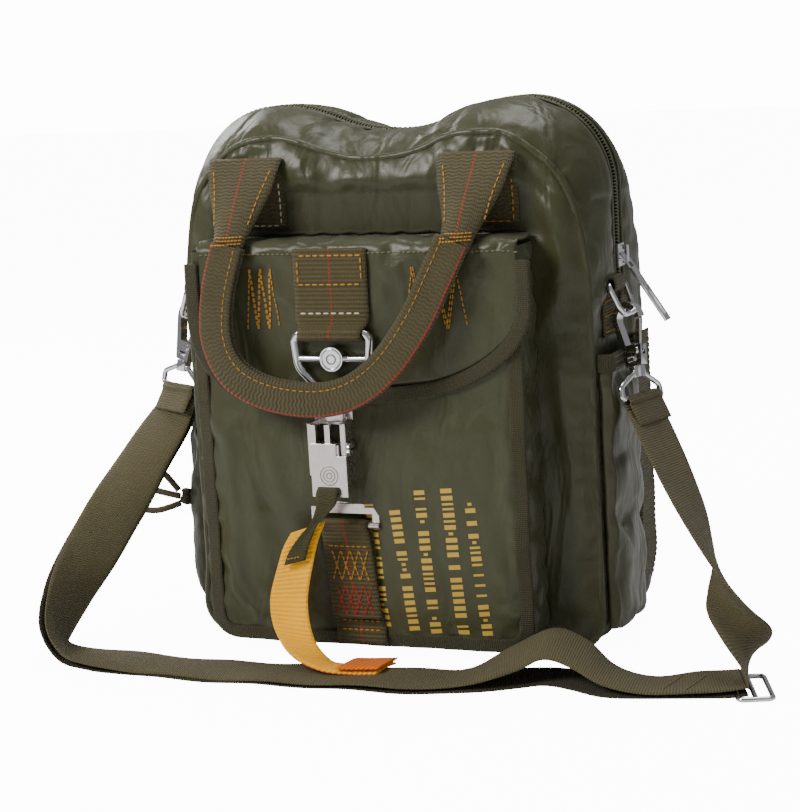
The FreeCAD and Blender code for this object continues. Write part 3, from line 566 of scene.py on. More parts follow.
def split(obj, rest, rule, names, body):
    """Cuts a finished cloth into the panels that a rule gives for each face."""
    final = points_of(obj)
    groups = {}
    for polygon in obj.data.polygons:
        ids = list(polygon.vertices)
        key = rule(rest[ids].mean(axis=0))
        if key:
            groups.setdefault(key, []).append(ids)
    made = {}
    for key, faces in groups.items():
        used = sorted({i for f in faces for i in f})
        order = {v: k for k, v in enumerate(used)}
        piece = mesh_object(key, [final[i] for i in used], [[order[i] for i in f] for f in faces],
                            "nylon", body, stands_for=names.get(key, ()))
        made[key] = piece
    bpy.data.objects.remove(obj)
    return made


def refined(obj, rest):
    """Smooth subdivision baked into the mesh, with the resting points carried along."""
    final = points_of(obj)
    results = []
    for points in (rest, final):
        set_points(obj, points)
        modifier = obj.modifiers.new("subdivide", "SUBSURF")
        modifier.levels = modifier.render_levels = 1
        shown = obj.evaluated_get(bpy.context.evaluated_depsgraph_get())
        results.append(bpy.data.meshes.new_from_object(shown))
        obj.modifiers.clear()
    new_rest = np.array([v.co for v in results[0].vertices]) / MM
    obj.data = results[1]
    obj.data.shade_smooth()
    return new_rest


def edge_distance(points, loop):
    """How far each point (x, z) lies from a closed outline."""
    a = np.array(loop, float)
    b = np.roll(a, -1, axis=0)
    flat = points[:, [0, 2]]
    best = np.full(len(flat), 1e9)
    for p, q in zip(a, b):
        run = q - p
        t = np.clip(((flat - p) @ run) / max(run @ run, 1e-9), 0, 1)
        best = np.minimum(best, np.linalg.norm(flat - p - t[:, None] * run, axis=1))
    return best


def crumple(points, rest, amount, scale, seed):
    """Broad soft unevenness, so no panel is dead flat."""
    out = points.copy()
    for i, p in enumerate(rest):
        n = noise.noise_vector(Vector(p) * scale + Vector((seed, seed * 2, 0)))
        out[i] += np.array(n) * amount
    return out


# Body of the bag ----------------------------------------------------------------------------------

def ease(value, low, high):
    t = np.clip((value - low) / (high - low), 0, 1)
    return t * t * (3 - 2 * t)


def slump(points):
    """The soft bag's shoulders: towards the front and back seams the top sinks and draws in."""
    points = np.array(points, float)
    depth = np.clip((np.abs(points[:, 1]) - 6) / 44, 0, 1.1) ** 1.4
    high = ease(points[:, 2], 225, 300)
    side = ease(np.abs(points[:, 0]), 60, 125)
    points[:, 2] -= depth * (11.0 * high + 3.0 * ease(np.abs(points[:, 0]), 30, 80) * ease(points[:, 2], 250,
                                                                                           309))
    points[:, 0] -= np.sign(points[:, 0]) * 7.0 * depth * ease(np.abs(points[:, 0]), 20,
                                                               80) * ease(points[:, 2], 225, 300)
    points[:, 0] -= np.sign(points[:, 0]) * 8.0 * depth * side * ease(points[:, 2], 200, 285)
    narrow = ease(-points[:, 0], 60, 125) * ease(points[:, 2], 0,
                                                 60) * (1 - 0.5 * ease(points[:, 2], 230, 300))
    points[:, 0] += 3.5 * narrow * np.where(np.abs(points[:, 1]) > 20, 1.0, 0.5)
    return points


def make_body():
    loop = outline(0.0)
    obj = solid_from(loop, -BODY_Y, BODY_Y, 5.0)
    rest = points_of(obj)
    inside = edge_distance(rest, loop)
    high = rest[:, 2]
    seam = (np.abs(rest[:, 1]) > BODY_Y - 4) & (inside < 4.5)
    track = (np.abs(rest[:, 1]) < 9) & (high > 196) & (inside < 4)
    pins = np.where(seam | track | (high < 5), 1.0, 0.0)
    pins[(np.abs(rest[:, 0]) > 120) & (high < 196) & (rest[:, 1] < 14)] = 0.6
    simulate(obj, pins, 40.0, -0.07, cap=7.0)
    points = points_of(obj)
    wide = (np.abs(rest[:, 1]) < 48) & (high < 250)
    points[wide, 0] = np.clip(points[wide, 0], -126.5, 128.5)
    calm = np.clip((inside - 2) / 25, 0, 1)
    points = crumple(points, rest, 1.2, 0.03, 3.0) * calm[:, None] + points * (1 - calm[:, None])
    front = np.clip((-rest[:, 1] - 30) / 20, 0, 1)
    out = (0, -1, 0)
    folds = [((-104, 288), (-100, 236), 5, 2.2), ((-46, 300), (-38, 250), 7, 2.4),
             ((-8, 290), (-16, 244), 8, 2.6),
             ((22, 292), (34, 246), 6, 2.4), ((92, 300), (96, 250), 7, 2.2), ((112, 270), (104, 180), 6, 2.6),
             ((-20, 268), (24, 262), 6, 1.2), ((110, 190), (114, 60), 6, 2.0),
             ((-112, 200), (-114, 80), 6, 2.0)]
    for a, b, width, height in folds:
        points = fold(points, rest, a, b, width, height, out, front)
    rear = np.clip((rest[:, 1] - 30) / 20, 0, 1)
    for a, b, width, height in [((-70, 290), (-50, 120), 9, 3), ((60, 290), (30, 90), 10, 3),
                                ((0, 280), (5, 60), 12, 2.5),
                                ((-95, 200), (-70, 30), 8, 2.5), ((95, 180), (80, 30), 8, 2.5)]:
        points = fold(points, rest, a, b, width, height, (0, 1, 0), rear)
    pucker = np.clip(1 - inside / 16, 0, 1) * np.clip((inside - 1.5) / 4, 0, 1) * (np.abs(rest[:, 1]) > 44)
    around = rest[:, 0] * 0.42 + rest[:, 2] * 0.36
    points[:, 1] += np.sign(rest[:, 1]) * pucker * 1.8 * np.sin(around + 1.7 * np.sin(around * 0.37))
    points = slump(points)
    behind_flap = ease(high, 222, 236) * (1 - ease(high, 266, 290))
    behind_flap = behind_flap * (rest[:, 1] < 0) * (1 - ease(np.abs(rest[:, 0]), 100, 115))
    points[:, 1] = np.maximum(points[:, 1], -53.2 - 12.0 * (1 - behind_flap))
    set_points(obj, points)
    rest = refined(obj, rest)

    def rule(p):
        x, y, z = p
        if y < -BODY_Y + 1.6:
            return "front_panel_cloth"
        if y > BODY_Y - 1.6:
            return "back_panel_cloth"
        if z > 200:
            return "top_gusset_front_cloth" if y < -5.5 else "top_gusset_rear_cloth" if y > 5.5 else None
        if abs(x) < 105 and z < 30:
            return "base_cloth"
        return "left_side_cloth" if x < 0 else "right_side_cloth"

    names = {"front_panel_cloth": ["front_panel"], "back_panel_cloth": ["back_panel"],
             "base_cloth": ["base_panel"],
             "left_side_cloth": ["left_side_panel"], "right_side_cloth": ["right_side_panel"],
             "top_gusset_front_cloth": ["top_gusset_front"], "top_gusset_rear_cloth": ["top_gusset_rear"]}
    return split(obj, rest, rule, names, "bag")


def make_piping():
    """Bound seams that run round the front and back of the body."""
    loop = outline(2.2, 3.0)
    for name, y in (("front_seam_piping", -BODY_Y + 1.6), ("rear_seam_piping", BODY_Y - 1.6)):
        path = [tuple(p) for p in slump([(x, y + 0.4 * math.sin(k * 0.5), z) for k,
                                         (x, z) in enumerate(loop)])]
        tube(name, path + path[:1], 2.3, "nylon", "bag", spacing=3.0, slot="olive_binding")


# Zipper -------------------------------------------------------------------------------------------

def zip_track(offset, low, step=0.8):
    """Even points (x, 0, z) along the zipper's path over the ears, from left to right."""
    loop = [p for p in outline(-offset, 3.0)]
    loop = [p for p in loop if p[1] > low]
    loop.sort(key=lambda p: math.atan2(p[0], p[1] - 150))
    rows, _ = curve_through([(x, 0, z) for x, z in loop], step)
    return rows


def make_zipper():
    rows = zip_track(0.6, 202.0, 1.9)
    verts, faces = [], []
    for i in range(len(rows) - 1):
        here = Vector(rows[i])
        along = (Vector(rows[i + 1]) - here).normalized()
        out = Vector((0, 1, 0)).cross(along) * -1
        if out.dot(here - Vector((0, 0, 150))) < 0:
            out = -out
        for side in (-1, 1):
            base = here + along * (0.95 if side > 0 else 0.0)
            start = len(verts)
            for a, y, h in ((-0.42, 0.2, 0), (0.42, 0.2, 0), (0.42, 2.7, 0), (-0.42, 2.7, 0),
                            (-0.34, -0.3, 1.3), (0.34, -0.3, 1.3), (0.34, 2.5, 1.0), (-0.34, 2.5, 1.0)):
                verts.append(base + along * a + Vector((0, side * y, 0)) + out * h)
            for f in ((0, 1, 5, 4), (1, 2, 6, 5), (2, 3, 7, 6), (3, 0, 4, 7), (4, 5, 6, 7)):
                faces.append([start + k for k in (f if side > 0 else f[::-1])])
    mesh_object("zip_teeth", verts, faces, "coil", "bag", smooth=False, stands_for=["zip_chain"])
    for name, side in (("front", -1), ("rear", 1)):
        stations = []
        track = zip_track(0.5, 198.0, 4.0)
        for i, p in enumerate(track):
            stations.append(((p[0], side * 5.2, p[2]), (0, 2.6, 0)))
        band("zip_tape_" + name + "_cloth", stations, 0.7, "binding", "bag", cuts=4, spacing=3.0,
             stands_for=["zip_tape_" + name])
        band("zip_fold_" + name, [((p[0] * 1.006, side * 8.4, p[2] + 0.3), (0, 1.5, 0)) for p in track], 1.3,
             "nylon", "bag", cuts=3, spacing=3.0)
        stitch(None, [(p[0] * 1.007, side * 8.3, p[2] + 1.0) for p in track], (0, 0, -1), "olive_thread",
               "bag", pitch=3.2)
    band("zip_end_fold", [((126.8, 0, 202.5), (0, 8.5, 0)), ((128.6, 0, 197), (0, 8, 0)),
                          ((127.6, 0, 192), (0, 5.5, 0)),
                          ((126.4, 0, 186), (0, 3, 0))], 1.6, "side_webbing", "bag", cuts=6,
         stands_for=["zip_end_tab"], slot="olive_binding")


# Front pocket and flap ----------------------------------------------------------------------------

def pocket_loop(inset=0.0, step=4.0):
    half, low, high, corner = POCKET_HALF - inset, 8.0 + inset, 236.0, 14.0 - inset
    points = []
    for x0, z0, x1, z1 in ((-half + corner, low, half - corner, low), (half, low + corner, half, high),
                           (half, high, -half, high), (-half, high, -half, low + corner)):
        count = max(int(math.hypot(x1 - x0, z1 - z0) / step), 1)
        points += [(x0 + (x1 - x0) * k / count, z0 + (z1 - z0) * k / count) for k in range(count)]
        if (x1, z1) in ((half - corner, low), (-half, low + corner)):
            centre, start = (half - corner, -90) if x1 > 0 else (-half + corner, 180)
            points += [(centre + corner * math.cos(math.radians(start + 90 * k / 5)),
                        low + corner + corner * math.sin(math.radians(start + 90 * k / 5))) for k in range(5)]
    return [(x + POCKET_X, z) for x, z in points]


def make_pocket():
    loop = pocket_loop()
    obj = solid_from(loop, POCKET_Y, -BODY_Y + 1, 4.2)
    rest = points_of(obj)
    inside = edge_distance(rest, loop)
    pins = np.where((rest[:, 1] > -54) | ((rest[:, 1] < -76) & (inside < 4)) | (rest[:, 2] > 231), 1.0, 0.0)
    pins[(np.abs(rest[:, 0] - RING_X) < 14) & (rest[:, 2] < 84) & (rest[:, 1] < -70)] = 0.5
    simulate(obj, pins, 30.0, -0.07, cap=5.0)
    points = points_of(obj)
    front = np.clip((-rest[:, 1] - 66) / 12, 0, 1)
    out = (0, -1, 0)
    folds = [((-88, 150), (-80, 30), 5, 2.6), ((-74, 140), (-58, 20), 6, 2.2),
             ((-60, 150), (-44, 60), 6, 1.8),
             ((-92, 60), (-60, 12), 5, 2.0), ((26, 150), (60, 132), 7, 1.2), ((84, 146), (90, 40), 5, 2.2),
             ((70, 60), (92, 20), 6, 1.6), ((10, 100), (40, 40), 12, 1.2), ((-30, 130), (-36, 88), 6, 1.4)]
    for a, b, width, height in folds:
        points = fold(points, rest, a, b, width, height, out, front)
    points = crumple(points, rest, 0.9, 0.035, 11.0)
    pucker = np.clip(1 - inside / 15, 0, 1) * np.clip((inside - 1.0) / 4, 0, 1) * front
    around = rest[:, 2] * 0.55 + 1.5 * np.sin(rest[:, 2] * 0.21) + rest[:, 0] * 0.3
    points[:, 1] -= pucker * 1.3 * np.sin(around)
    points[:, 1] = np.minimum(points[:, 1], -BODY_Y + 1)
    points[:, 1] = np.maximum(points[:, 1], POCKET_Y - 1.2 - 7.0 * (1 - ease(rest[:, 2], 105, 160)))
    set_points(obj, points)
    rest = refined(obj, rest)

    def rule(p):
        if p[2] > 232 or p[1] > -BODY_Y - 0.5:
            return None
        return "pocket_front_cloth" if p[1] < POCKET_Y + 1.5 else "pocket_gusset_cloth"

    made = split(obj, rest, rule, {"pocket_front_cloth": ["pocket_panel"],
                                   "pocket_gusset_cloth": ["pocket_gusset"]}, "bag")
    lip = [(x, z) for x, z in pocket_loop(3.2, 5.0) if z < 226]
    start = next(i for i in range(len(lip)) if math.dist(lip[i], lip[i - 1]) > 60)
    lip = lip[start:] + lip[:start]
    tree = bvh(made["pocket_front_cloth"])
    stations = []
    for i, (x, z) in enumerate(lip):
        ahead = Vector((lip[min(i + 1, len(lip) - 1)][0] - lip[max(i - 1, 0)][0], 0,
                        lip[min(i + 1, len(lip) - 1)][1] - lip[max(i - 1, 0)][1])).normalized()
        across = ahead.cross(Vector((0, 1, 0))) * 4.2
        place = onto(tree, (x, POCKET_Y, z), (0, 1, 0), 1.0)
        stations.append(((x, min(place.y, POCKET_Y - 0.6), z), (across.x, -0.9, across.z)))
    band("pocket_binding_tape", stations, 1.5, "binding", "bag", cuts=8, spacing=3.0, ripple=0.35,
         stands_for=["pocket_edge_binding"])
    made["binding"] = bpy.data.objects["pocket_binding_tape"]
    return made


def flap_limit(x):
    """How low the flap hangs along its width: tight left corner, wide right one."""
    x -= FLAP_X
    radius, lift = (38.0, 0.0) if x < 0 else (56.0, 10.0 * float(ease(x, 0, FLAP_HALF)))
    side = max(0.0, abs(x) - (FLAP_HALF - radius))
    return 154.0 + lift + (radius - math.sqrt(max(radius ** 2 - min(side, radius) ** 2,
                                                  0.0))) * (38.0 / radius)


def flap_point(x, run):
    """A point on the flap: along its top shelf, round the edge, then down."""
    if run < FLAP_SHELF:
        return (x, FLAP_BACK_Y - run, FLAP_TOP_Z)
    turn_y, turn_z = FLAP_BACK_Y - FLAP_SHELF, FLAP_TOP_Z - FLAP_TURN
    if run < FLAP_SHELF + FLAP_BEND:
        angle = (run - FLAP_SHELF) / FLAP_TURN
        return (x, turn_y - FLAP_TURN * math.sin(angle), turn_z + FLAP_TURN * math.cos(angle))
    return (x, turn_y - FLAP_TURN, turn_z - (run - FLAP_SHELF - FLAP_BEND))


def make_flap():
    wide, deep = 52, 30
    verts, faces, uvs = [], [], []
    for i in range(wide + 1):
        spread = math.pi / 2 * 0.96
        x = FLAP_X + FLAP_HALF * math.sin((i / wide * 2 - 1) * spread) / math.sin(spread)
        total = FLAP_SHELF + FLAP_BEND + FLAP_TOP_Z - FLAP_TURN - flap_limit(x)
        for k in range(deep + 1):
            verts.append(flap_point(x, total * k / deep))
            uvs.append((x, total * k / deep))
    for i in range(wide):
        for k in range(deep):
            a = i * (deep + 1) + k
            faces.append((a, a + 1, a + deep + 2, a + deep + 1))
    obj = mesh_object("flap_cloth", verts, faces, "nylon", None, uvs)
    rest = points_of(obj)
    runs = np.array([uv[1] for uv in uvs])
    pins = np.where(runs < 26, 1.0, 0.0)
    pins[(np.abs(rest[:, 0] - RING_X) < 22) & (rest[:, 2] > 186)] = 0.7
    simulate(obj, pins, -8.0, -0.06, cap=3.0, frames=20)
    points = points_of(obj)
    hang = np.clip((232 - rest[:, 2]) / 20, 0, 1) * (rest[:, 1] < -80)
    out = (0, -1, 0)
    for a, b, width, height in [((-90, 228), (-84, 176), 5, 2.0), ((-58, 232), (-54, 166), 6, 1.8),
                                ((-34, 200), (-40, 160), 5, 1.6),
                                ((22, 232), (16, 170), 5, 1.8), ((50, 230), (56, 164), 7, 1.8),
                                ((84, 228), (88, 182), 5, 2.0),
                                ((60, 176), (92, 196), 5, 1.2), ((-92, 190), (-66, 166), 5, 1.2)]:
        points = fold(points, rest, a, b, width, height, out, hang)
    points = crumple(points, rest, 0.8, 0.04, 5.0)
    top = (rest[:, 2] > 234.5) & (rest[:, 1] > -78)
    ripple = np.sin(rest[:, 0] * 0.33 + 1.2 * np.sin(rest[:, 0] * 0.11))
    points[:, 2] += top * 1.3 * ripple * np.clip((-57 - rest[:, 1]) / 8, 0, 1)
    gather = np.clip((rest[:, 2] - 222) / 10, 0, 1) * (rest[:, 1] < -80)
    points[:, 1] -= gather * 0.9 * np.sin(rest[:, 0] * 0.5 + 1.4 * np.sin(rest[:, 0] * 0.17))
    points[hang > 0, 1] = np.clip(points[hang > 0, 1], -87.2, -82.6)
    near = (np.abs(rest[:, 0] - RING_X) < 23) & (rest[:, 1] < -80)
    points[near, 1] = np.clip(points[near, 1], -84.4, -82.6)
    set_points(obj, points)
    refined(obj, rest)
    solid = obj.modifiers.new("thickness", "SOLIDIFY")
    solid.thickness = 0.9 * MM
    solid.offset = 0.0
    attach(obj, "flap")
    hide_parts("flap_panel")
    tree = bvh(obj)
    edge = []
    for k in range(0, 61):
        t = k / 60
        low_left, low_right = flap_limit(FLAP_X - FLAP_HALF), flap_limit(FLAP_X + FLAP_HALF)
        if t < 0.22:
            edge.append((FLAP_X - FLAP_HALF, 226 - (226 - low_left) * t / 0.22))
        elif t > 0.78:
            edge.append((FLAP_X + FLAP_HALF, low_right + (226 - low_right) * (t - 0.78) / 0.22))
        else:
            x = FLAP_X - FLAP_HALF + 2 * FLAP_HALF * (0.5 - 0.5 * math.cos(math.pi * (t - 0.22) / 0.56))
            edge.append((x, flap_limit(x)))
    stations = []
    for i, (x, z) in enumerate(edge):
        before, after = edge[max(i - 1, 0)], edge[min(i + 1, len(edge) - 1)]
        ahead = Vector((after[0] - before[0], 0, after[1] - before[1])).normalized()
        across = ahead.cross(Vector((0, 1, 0)))
        spot = Vector((x, -83.4, z)) - across * 3.0
        place = onto(tree, spot, (0, 1, 0), 0.2)
        stations.append(((spot.x, place.y, spot.z), tuple(across * 4.2)))
    band("flap_binding_tape", stations, 2.4, "binding", "flap", cuts=8, spacing=3.0, ripple=0.3,
         stands_for=["flap_binding"])
    band("flap_hinge_seam", [((x + FLAP_X, -53.6, 239.4 + 0.6 * math.sin(x * 0.4)), (0, 1.9, 0))
                             for x in range(-95, 96, 6)], 2.0,
         "binding", "bag", cuts=5, stands_for=["flap_seam_tape"])
    return obj


# Webbing on the front -----------------------------------------------------------------------------

def make_flap_webbing():
    half = 22
    stations = [((RING_X, -84.6, 234), (half, 0, 0)), ((RING_X, -85.0, 222), (half, 0, 0)),
                ((RING_X, -85.0, 205), (half, 0, 0)),
                ((RING_X, -85.4, 195), (half, 0, 0)), ((RING_X, -87.0, 191), (half - 1.5, 0, 0)),
                ((RING_X, -91.6, 188.4), (half - 3, 0, 0)), ((RING_X, -91.8, 185.4), (half - 3, 0, 0)),
                ((RING_X, -88.4, 183.4), (half - 3, 0, 0)), ((RING_X, -85.2, 184.6), (half - 3, 0, 0))]
    strip = band("flap_webbing_tape", stations, 1.7, "flap_webbing", "flap", cuts=14, spacing=1.6,
                 stands_for=["flap_webbing"])
    tree = bvh(strip)
    front = (0, 1, 0)
    box = [(RING_X - 19, -90, 230), (RING_X + 19, -90, 230), (RING_X + 19, -90, 214),
           (RING_X - 19, -90, 214), (RING_X - 19, -90, 230)]
    stitch_lines(tree, box, front, "gold", "flap", pitch=4.2, length=3.0, radius=0.45)
    stitch_lines(tree, [(RING_X - 20, -90, 198), (RING_X + 20, -90, 198)], front, "white", "flap", pitch=4.6,
                 length=3.2, radius=0.45)


def make_flap_stitches(flap):
    tree = bvh(flap)
    front = (0, 1, 0)
    for low, high in ((-67, -47), (28, 65)):
        wide = high - low
        stitch_lines(tree, zigzag(188, 224, low, low + wide * 0.86, 5, -90), front, "gold", "flap",
                     pitch=3.3, length=2.6)
        stitch_lines(tree, zigzag(188, 224, low + wide * 0.14, high, 5, -90, 1), front, "gold", "flap",
                     pitch=3.3, length=2.6)
    stitch_lines(tree, [(-98, -90, 231), (98, -90, 231)], front, "olive_thread", "flap", pitch=3.0,
                 length=2.2)


def make_lower_webbing(pocket):
    tree = bvh(pocket["pocket_front_cloth"], pocket["binding"])
    heights = [9, 14, 20, 30, 42, 54, 64, 71, 76]
    stations = []
    for z in heights:
        y = min(onto(tree, (x, -82, z), (0, 1, 0), 1.3).y for x in (-27, -20, -14, -8, -1))
        stations.append(((RING_X + (76 - z) * 0.09, max(y, -84.5), z), (15, 0, 0)))
    stations += [((RING_X, -84.0, 79), (14.4, 0, 0)), ((RING_X, -87.6, 81.6), (14, 0, 0)),
                 ((RING_X, -88.2, 78.0), (14, 0, 0)),
                 ((RING_X, -86.4, 74.6), (14, 0, 0)), ((RING_X + 0.9, -86.0, 66), (14.6, 0, 0)),
                 ((RING_X + 3.2, -86.0, 40), (14.8, 0, 0)),
                 ((RING_X + 4.7, -85.8, 24), (14.8, 0, 0))]
    strip = band("lower_webbing_tape", stations, 1.5, "flap_webbing", "bag", cuts=12, spacing=1.8,
                 stands_for=["lower_webbing"])
    tree = bvh(strip)
    front = (0, 1, 0)
    for low, high, color in ((46, 64, "gold"), (26, 44, "red")):
        shift = (76 - low) * 0.08
        for start in (0, 1):
            corners = zigzag(low, high, -25 + shift, -3 + shift, 4, -92, start)
            stitch_lines(tree, corners, front, color, "bag", pitch=3.0, length=2.4)
    for z in (66, 22, 17):
        stitch_lines(tree, [(-26 + (76 - z) * 0.09, -92, z), (-2 + (76 - z) * 0.09, -92, z)], front, "gold",
                     "bag", pitch=3.4, length=2.5)


# Handles ------------------------------------------------------------------------------------------

FRONT_GRIP = [(-73, -92, 237.2), (-79.2, -96.5, 211), (-80, -99, 185), (-69, -101.5, 165), (-47, -102, 154),
              (-18, -102, 151),
              (5, -102, 157), (25, -102, 172), (42, -99, 195), (54, -95, 219), (62.6, -92, 237.2)]
REAR_GRIP = [(-76, 60, 236), (-78, 61, 212), (-74, 62, 184), (-58, 62, 163), (-34, 62, 152), (-6, 62, 149),
             (22, 62, 153), (46, 62, 164), (63, 62, 185), (67, 61, 212), (66, 60, 236)]


def folded_band(name, stations, material, body, thick=5.4, wall=1.7, spacing=2.2, **more):
    """Webbing folded in half lengthwise: two layers with the crease on one edge and a slit on the other."""
    rows, at = curve_through([(*c, *h) for c, h in stations], spacing)
    verts, uvs, ring = [], [], []
    reach = thick / 2
    for k in range(8):
        ring.append((-1 + 2 * k / 7, -reach, k * 22 / 7 - 22))
    for k in range(1, 5):
        angle = -math.pi / 2 + math.pi * k / 5
        ring.append((1 + math.cos(angle) * 0.16, reach * math.sin(angle), k * 0.6))
    for k in range(8):
        ring.append((1 - 2 * k / 7, reach, 3 + k * 22 / 7))
    ring += [(-1.0, reach - wall, 26), (-0.4, reach - wall - 0.4, 30), (-0.4, -reach + wall + 0.4, 32),
             (-1.0, -reach + wall, 36)]
    for i in range(len(rows)):
        centre, half = Vector(rows[i][:3]), Vector(rows[i][3:6])
        normal = heading(rows, i).cross(half).normalized()
        for u, lift, across in ring:
            wave = 0.35 * math.sin(at[i] * 0.09 + u) * (1 - abs(u))
            verts.append(centre + half * min(u, 1.15) + normal * (lift + wave))
            uvs.append((across, at[i]))
    return mesh_object(name, verts, ring_faces(len(rows), len(ring)), material, body, uvs, **more)


def make_handle(side, grip, body, name, front_tree):
    across = []
    for i in range(len(grip)):
        a, b = Vector(grip[max(i - 1, 0)]), Vector(grip[min(i + 1, len(grip) - 1)])
        across.append((b - a).cross(Vector((0, 1, 0))).normalized() * 9)
    stations = [(tuple(Vector(p) + h * 0.2), tuple(-h)) for p, h in zip(grip, across)]
    grip_obj = folded_band(name + "_grip_webbing", stations, "handle", body,
                           stands_for=[name + "_grip"])
    tree = bvh(grip_obj)
    towards = (0, -side, 0)
    path = [tuple(Vector(p) + h * 0.72 + Vector((0, side * 6, 0))) for p, h in zip(grip, across)]
    stitch(tree, path, towards, "gold", body, pitch=4.0, length=2.6, radius=0.28)
    for number, (x, end) in enumerate(((HANDLE_X[0], 0), (HANDLE_X[1], -1))):
        pinch = Vector(grip[end])
        wide = across[end] if across[end].x > 0 else -across[end]
        top = Vector((x, side * 57.6, 279.6))
        steps = [(Vector((x, side * 53.2, 272)), Vector((22, 0, 0))),
                 (Vector((x, side * 53.8, 279.2)), Vector((22, 0, 0))),
                 (Vector((x, side * 56.4, 281.9)), Vector((22, 0, 0))),
                 (Vector((x, side * 58.9, 278.8)), Vector((22, 0, 0)))]
        for t in (0.3, 0.55, 0.8, 0.93, 1.0):
            spot = top.lerp(pinch, t) + Vector((0, side * 1.6 * math.sin(t * math.pi), 0))
            steps.append((spot, Vector((22, 0, 0)).lerp(wide, t * t * (3 - 2 * t))))
        leg = band(name + "_leg_%d" % number, [(tuple(c), tuple(h)) for c, h in steps], 1.9, "handle", body,
                   cuts=14,
                   spacing=1.8, curl=lambda t: 4.6 * side * math.sin(max(t - 0.3, 0) / 0.7 * math.pi * 0.8) )
        leg_tree = bvh(leg, grip_obj)
        low = pinch.z
        bar = [(pinch.x - 8, pinch.y + side * 12, low + 1.5), (pinch.x + 8, pinch.y + side * 12, low + 1.5)]
        for lift in (-1.2, 0.6, 2.4):
            stitch_lines(leg_tree, [(a[0], a[1], a[2] + lift) for a in bar], towards, "gold", body,
                         pitch=1.7, length=1.5, radius=0.45)
        for offset in (-18, 18):
            stitch(leg_tree, [(x + offset, side * 75, 277), (x + offset * 0.75, side * 85, 262),
                              (x + offset * 0.55, side * 98, 246)],
                   towards, "gold", body, pitch=4.2, length=3.0)
    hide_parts(name + "_legs", name + "_fold")
    for x in HANDLE_X:
        rows = []
        for z in (242, 250, 258, 266, 274, 279.6):
            y = onto(front_tree, (x, side * 54, z), towards, 0.9).y
            near = max if side > 0 else min
            y = near(y, side * 51.4)
            rows.append(((x, near(min(abs(y), 55) * side, side * 51.4), z), (22, 0, 0)))
        patch = band(name + "_patch_%s" % ("left" if x < 0 else "right"), rows, 2.0, "handle", "bag", cuts=12)
        patch_tree = bvh(patch)
        y = side * 70
        box = [(x - 19, y, 272), (x - 19, y, 244), (x + 19, y, 244), (x + 19, y, 272)]
        stitch_lines(patch_tree, box, towards, "white" if x < 0 else "gold", "bag", pitch=4.0, length=2.9)
        stitch_lines(patch_tree, [(x - 19, y, 244), (x + 19, y, 272)], towards, "gold", "bag", pitch=4.0,
                     length=2.9)


# Release strap and tab ----------------------------------------------------------------------------

def make_release():
    tab = [((RING_X - 2.5, -99.6, 101.5), (6.5, 0, 0)), ((RING_X - 2.6, -102.2, 99.0), (6.4, 0, 0.2)),
           ((RING_X - 3.4, -101.6, 93), (6.0, 0, 0.8)), ((-22, -101.8, 85), (5.2, 0, 2.6)),
           ((-29, -102.6, 77), (5.6, 0, 3.2)),
           ((-34.5, -104, 68), (6.2, 0, 2.2)), ((-37.5, -105.2, 60), (6.6, 0, 1.8))]
    obj = band("pull_tab_webbing", tab, 1.8, "tab", "snap_lever", cuts=8, spacing=1.4,
               curl=lambda t: 1.5 * math.sin(t * math.pi), stands_for=["pull_tab"])
    stitch_lines(bvh(obj), [(-42, -112, 62), (-33, -112, 64)], (0, 1, 0), "gold", "snap_lever", pitch=2.0,
                 length=1.5)
    centres = [(-31, -98.5, 79), (-35, -100.2, 70), (-38, -101, 60), (-42, -105, 38), (-37, -112, 20),
               (-25, -119, 10),
               (-10, -120, 6.2), (5, -117, 5.8), (18, -114, 5.8)]
    halves = [(10.6, 0, 3.6), (11, 0, 3), (11.2, 0, 2.6), (11.5, 0, 0.5), (11.2, 1, -1.5), (9.5, 5.5, -2.5),
              (5, 9.8, -1),
              (2, 11, 0), (1.5, 11, 0)]
    band("release_strap_webbing", list(zip(centres, halves)), 1.7, "yellow", "bag", cuts=12, spacing=1.6,
                 under="orange", curl=lambda t: 1.4 * math.sin(t * 5), stands_for=["release_strap"])
    band("release_strap_tip", [((-4, -119.2, 7.9), (2, 10.6, 0)), ((5, -117, 7.5), (1.8, 11, 0)),
                               ((19, -113.8, 7.5), (1.5, 11, 0))],
         1.3, "orange", "bag", cuts=6, spacing=2.0, slot="yellow_webbing")


# Shoulder strap -----------------------------------------------------------------------------------

LEFT_RUN = [((-146.3, -19.3, 137.5), (-0.86, 0.5, 0.02)), ((-151, -27, 126), (-0.86, 0.4, 0.2)),
            ((-162, -45, 103), (-0.9, 0.1, 0.2)), ((-170, -65, 80), (-0.85, -0.35, 0.3)),
            ((-178, -88, 55), (-0.65, -0.6, 0.4)), ((-184, -106, 35), (-0.3, -0.8, 0.5)),
            ((-186, -119, 17), (0.1, -0.9, 0.42)), ((-178, -124, 7.5), (0.35, -0.92, 0.1)),
            ((-160, -125, 4.2), (0.3, -0.95, 0)), ((-135, -125, 3.6), (0.15, -0.98, 0)),
            ((-95, -127, 3.4), (0.05, -1, 0)), ((-50, -128, 3.4), (0.05, -1, 0)),
            ((0, -129, 3.4), (0.05, -1, 0)), ((40, -127, 3.4), (0.1, -0.99, 0)),
            ((68, -120, 4.5), (0.25, -0.96, 0)), ((90, -108, 13), (0.3, -0.93, -0.1)),
            ((108, -102, 21), (0.1, -0.97, -0.25)), ((126, -104, 17), (0.05, -0.98, -0.2)),
            ((145, -111, 8), (0.1, -0.99, 0)), ((168, -113, 4), (0.15, -0.98, 0)),
            ((192, -105, 4), (0.3, -0.95, 0)), ((205, -100, 4), (0.35, -0.93, 0)),
            ((213.5, -97, 4.6), (0.35, -0.93, 0))]
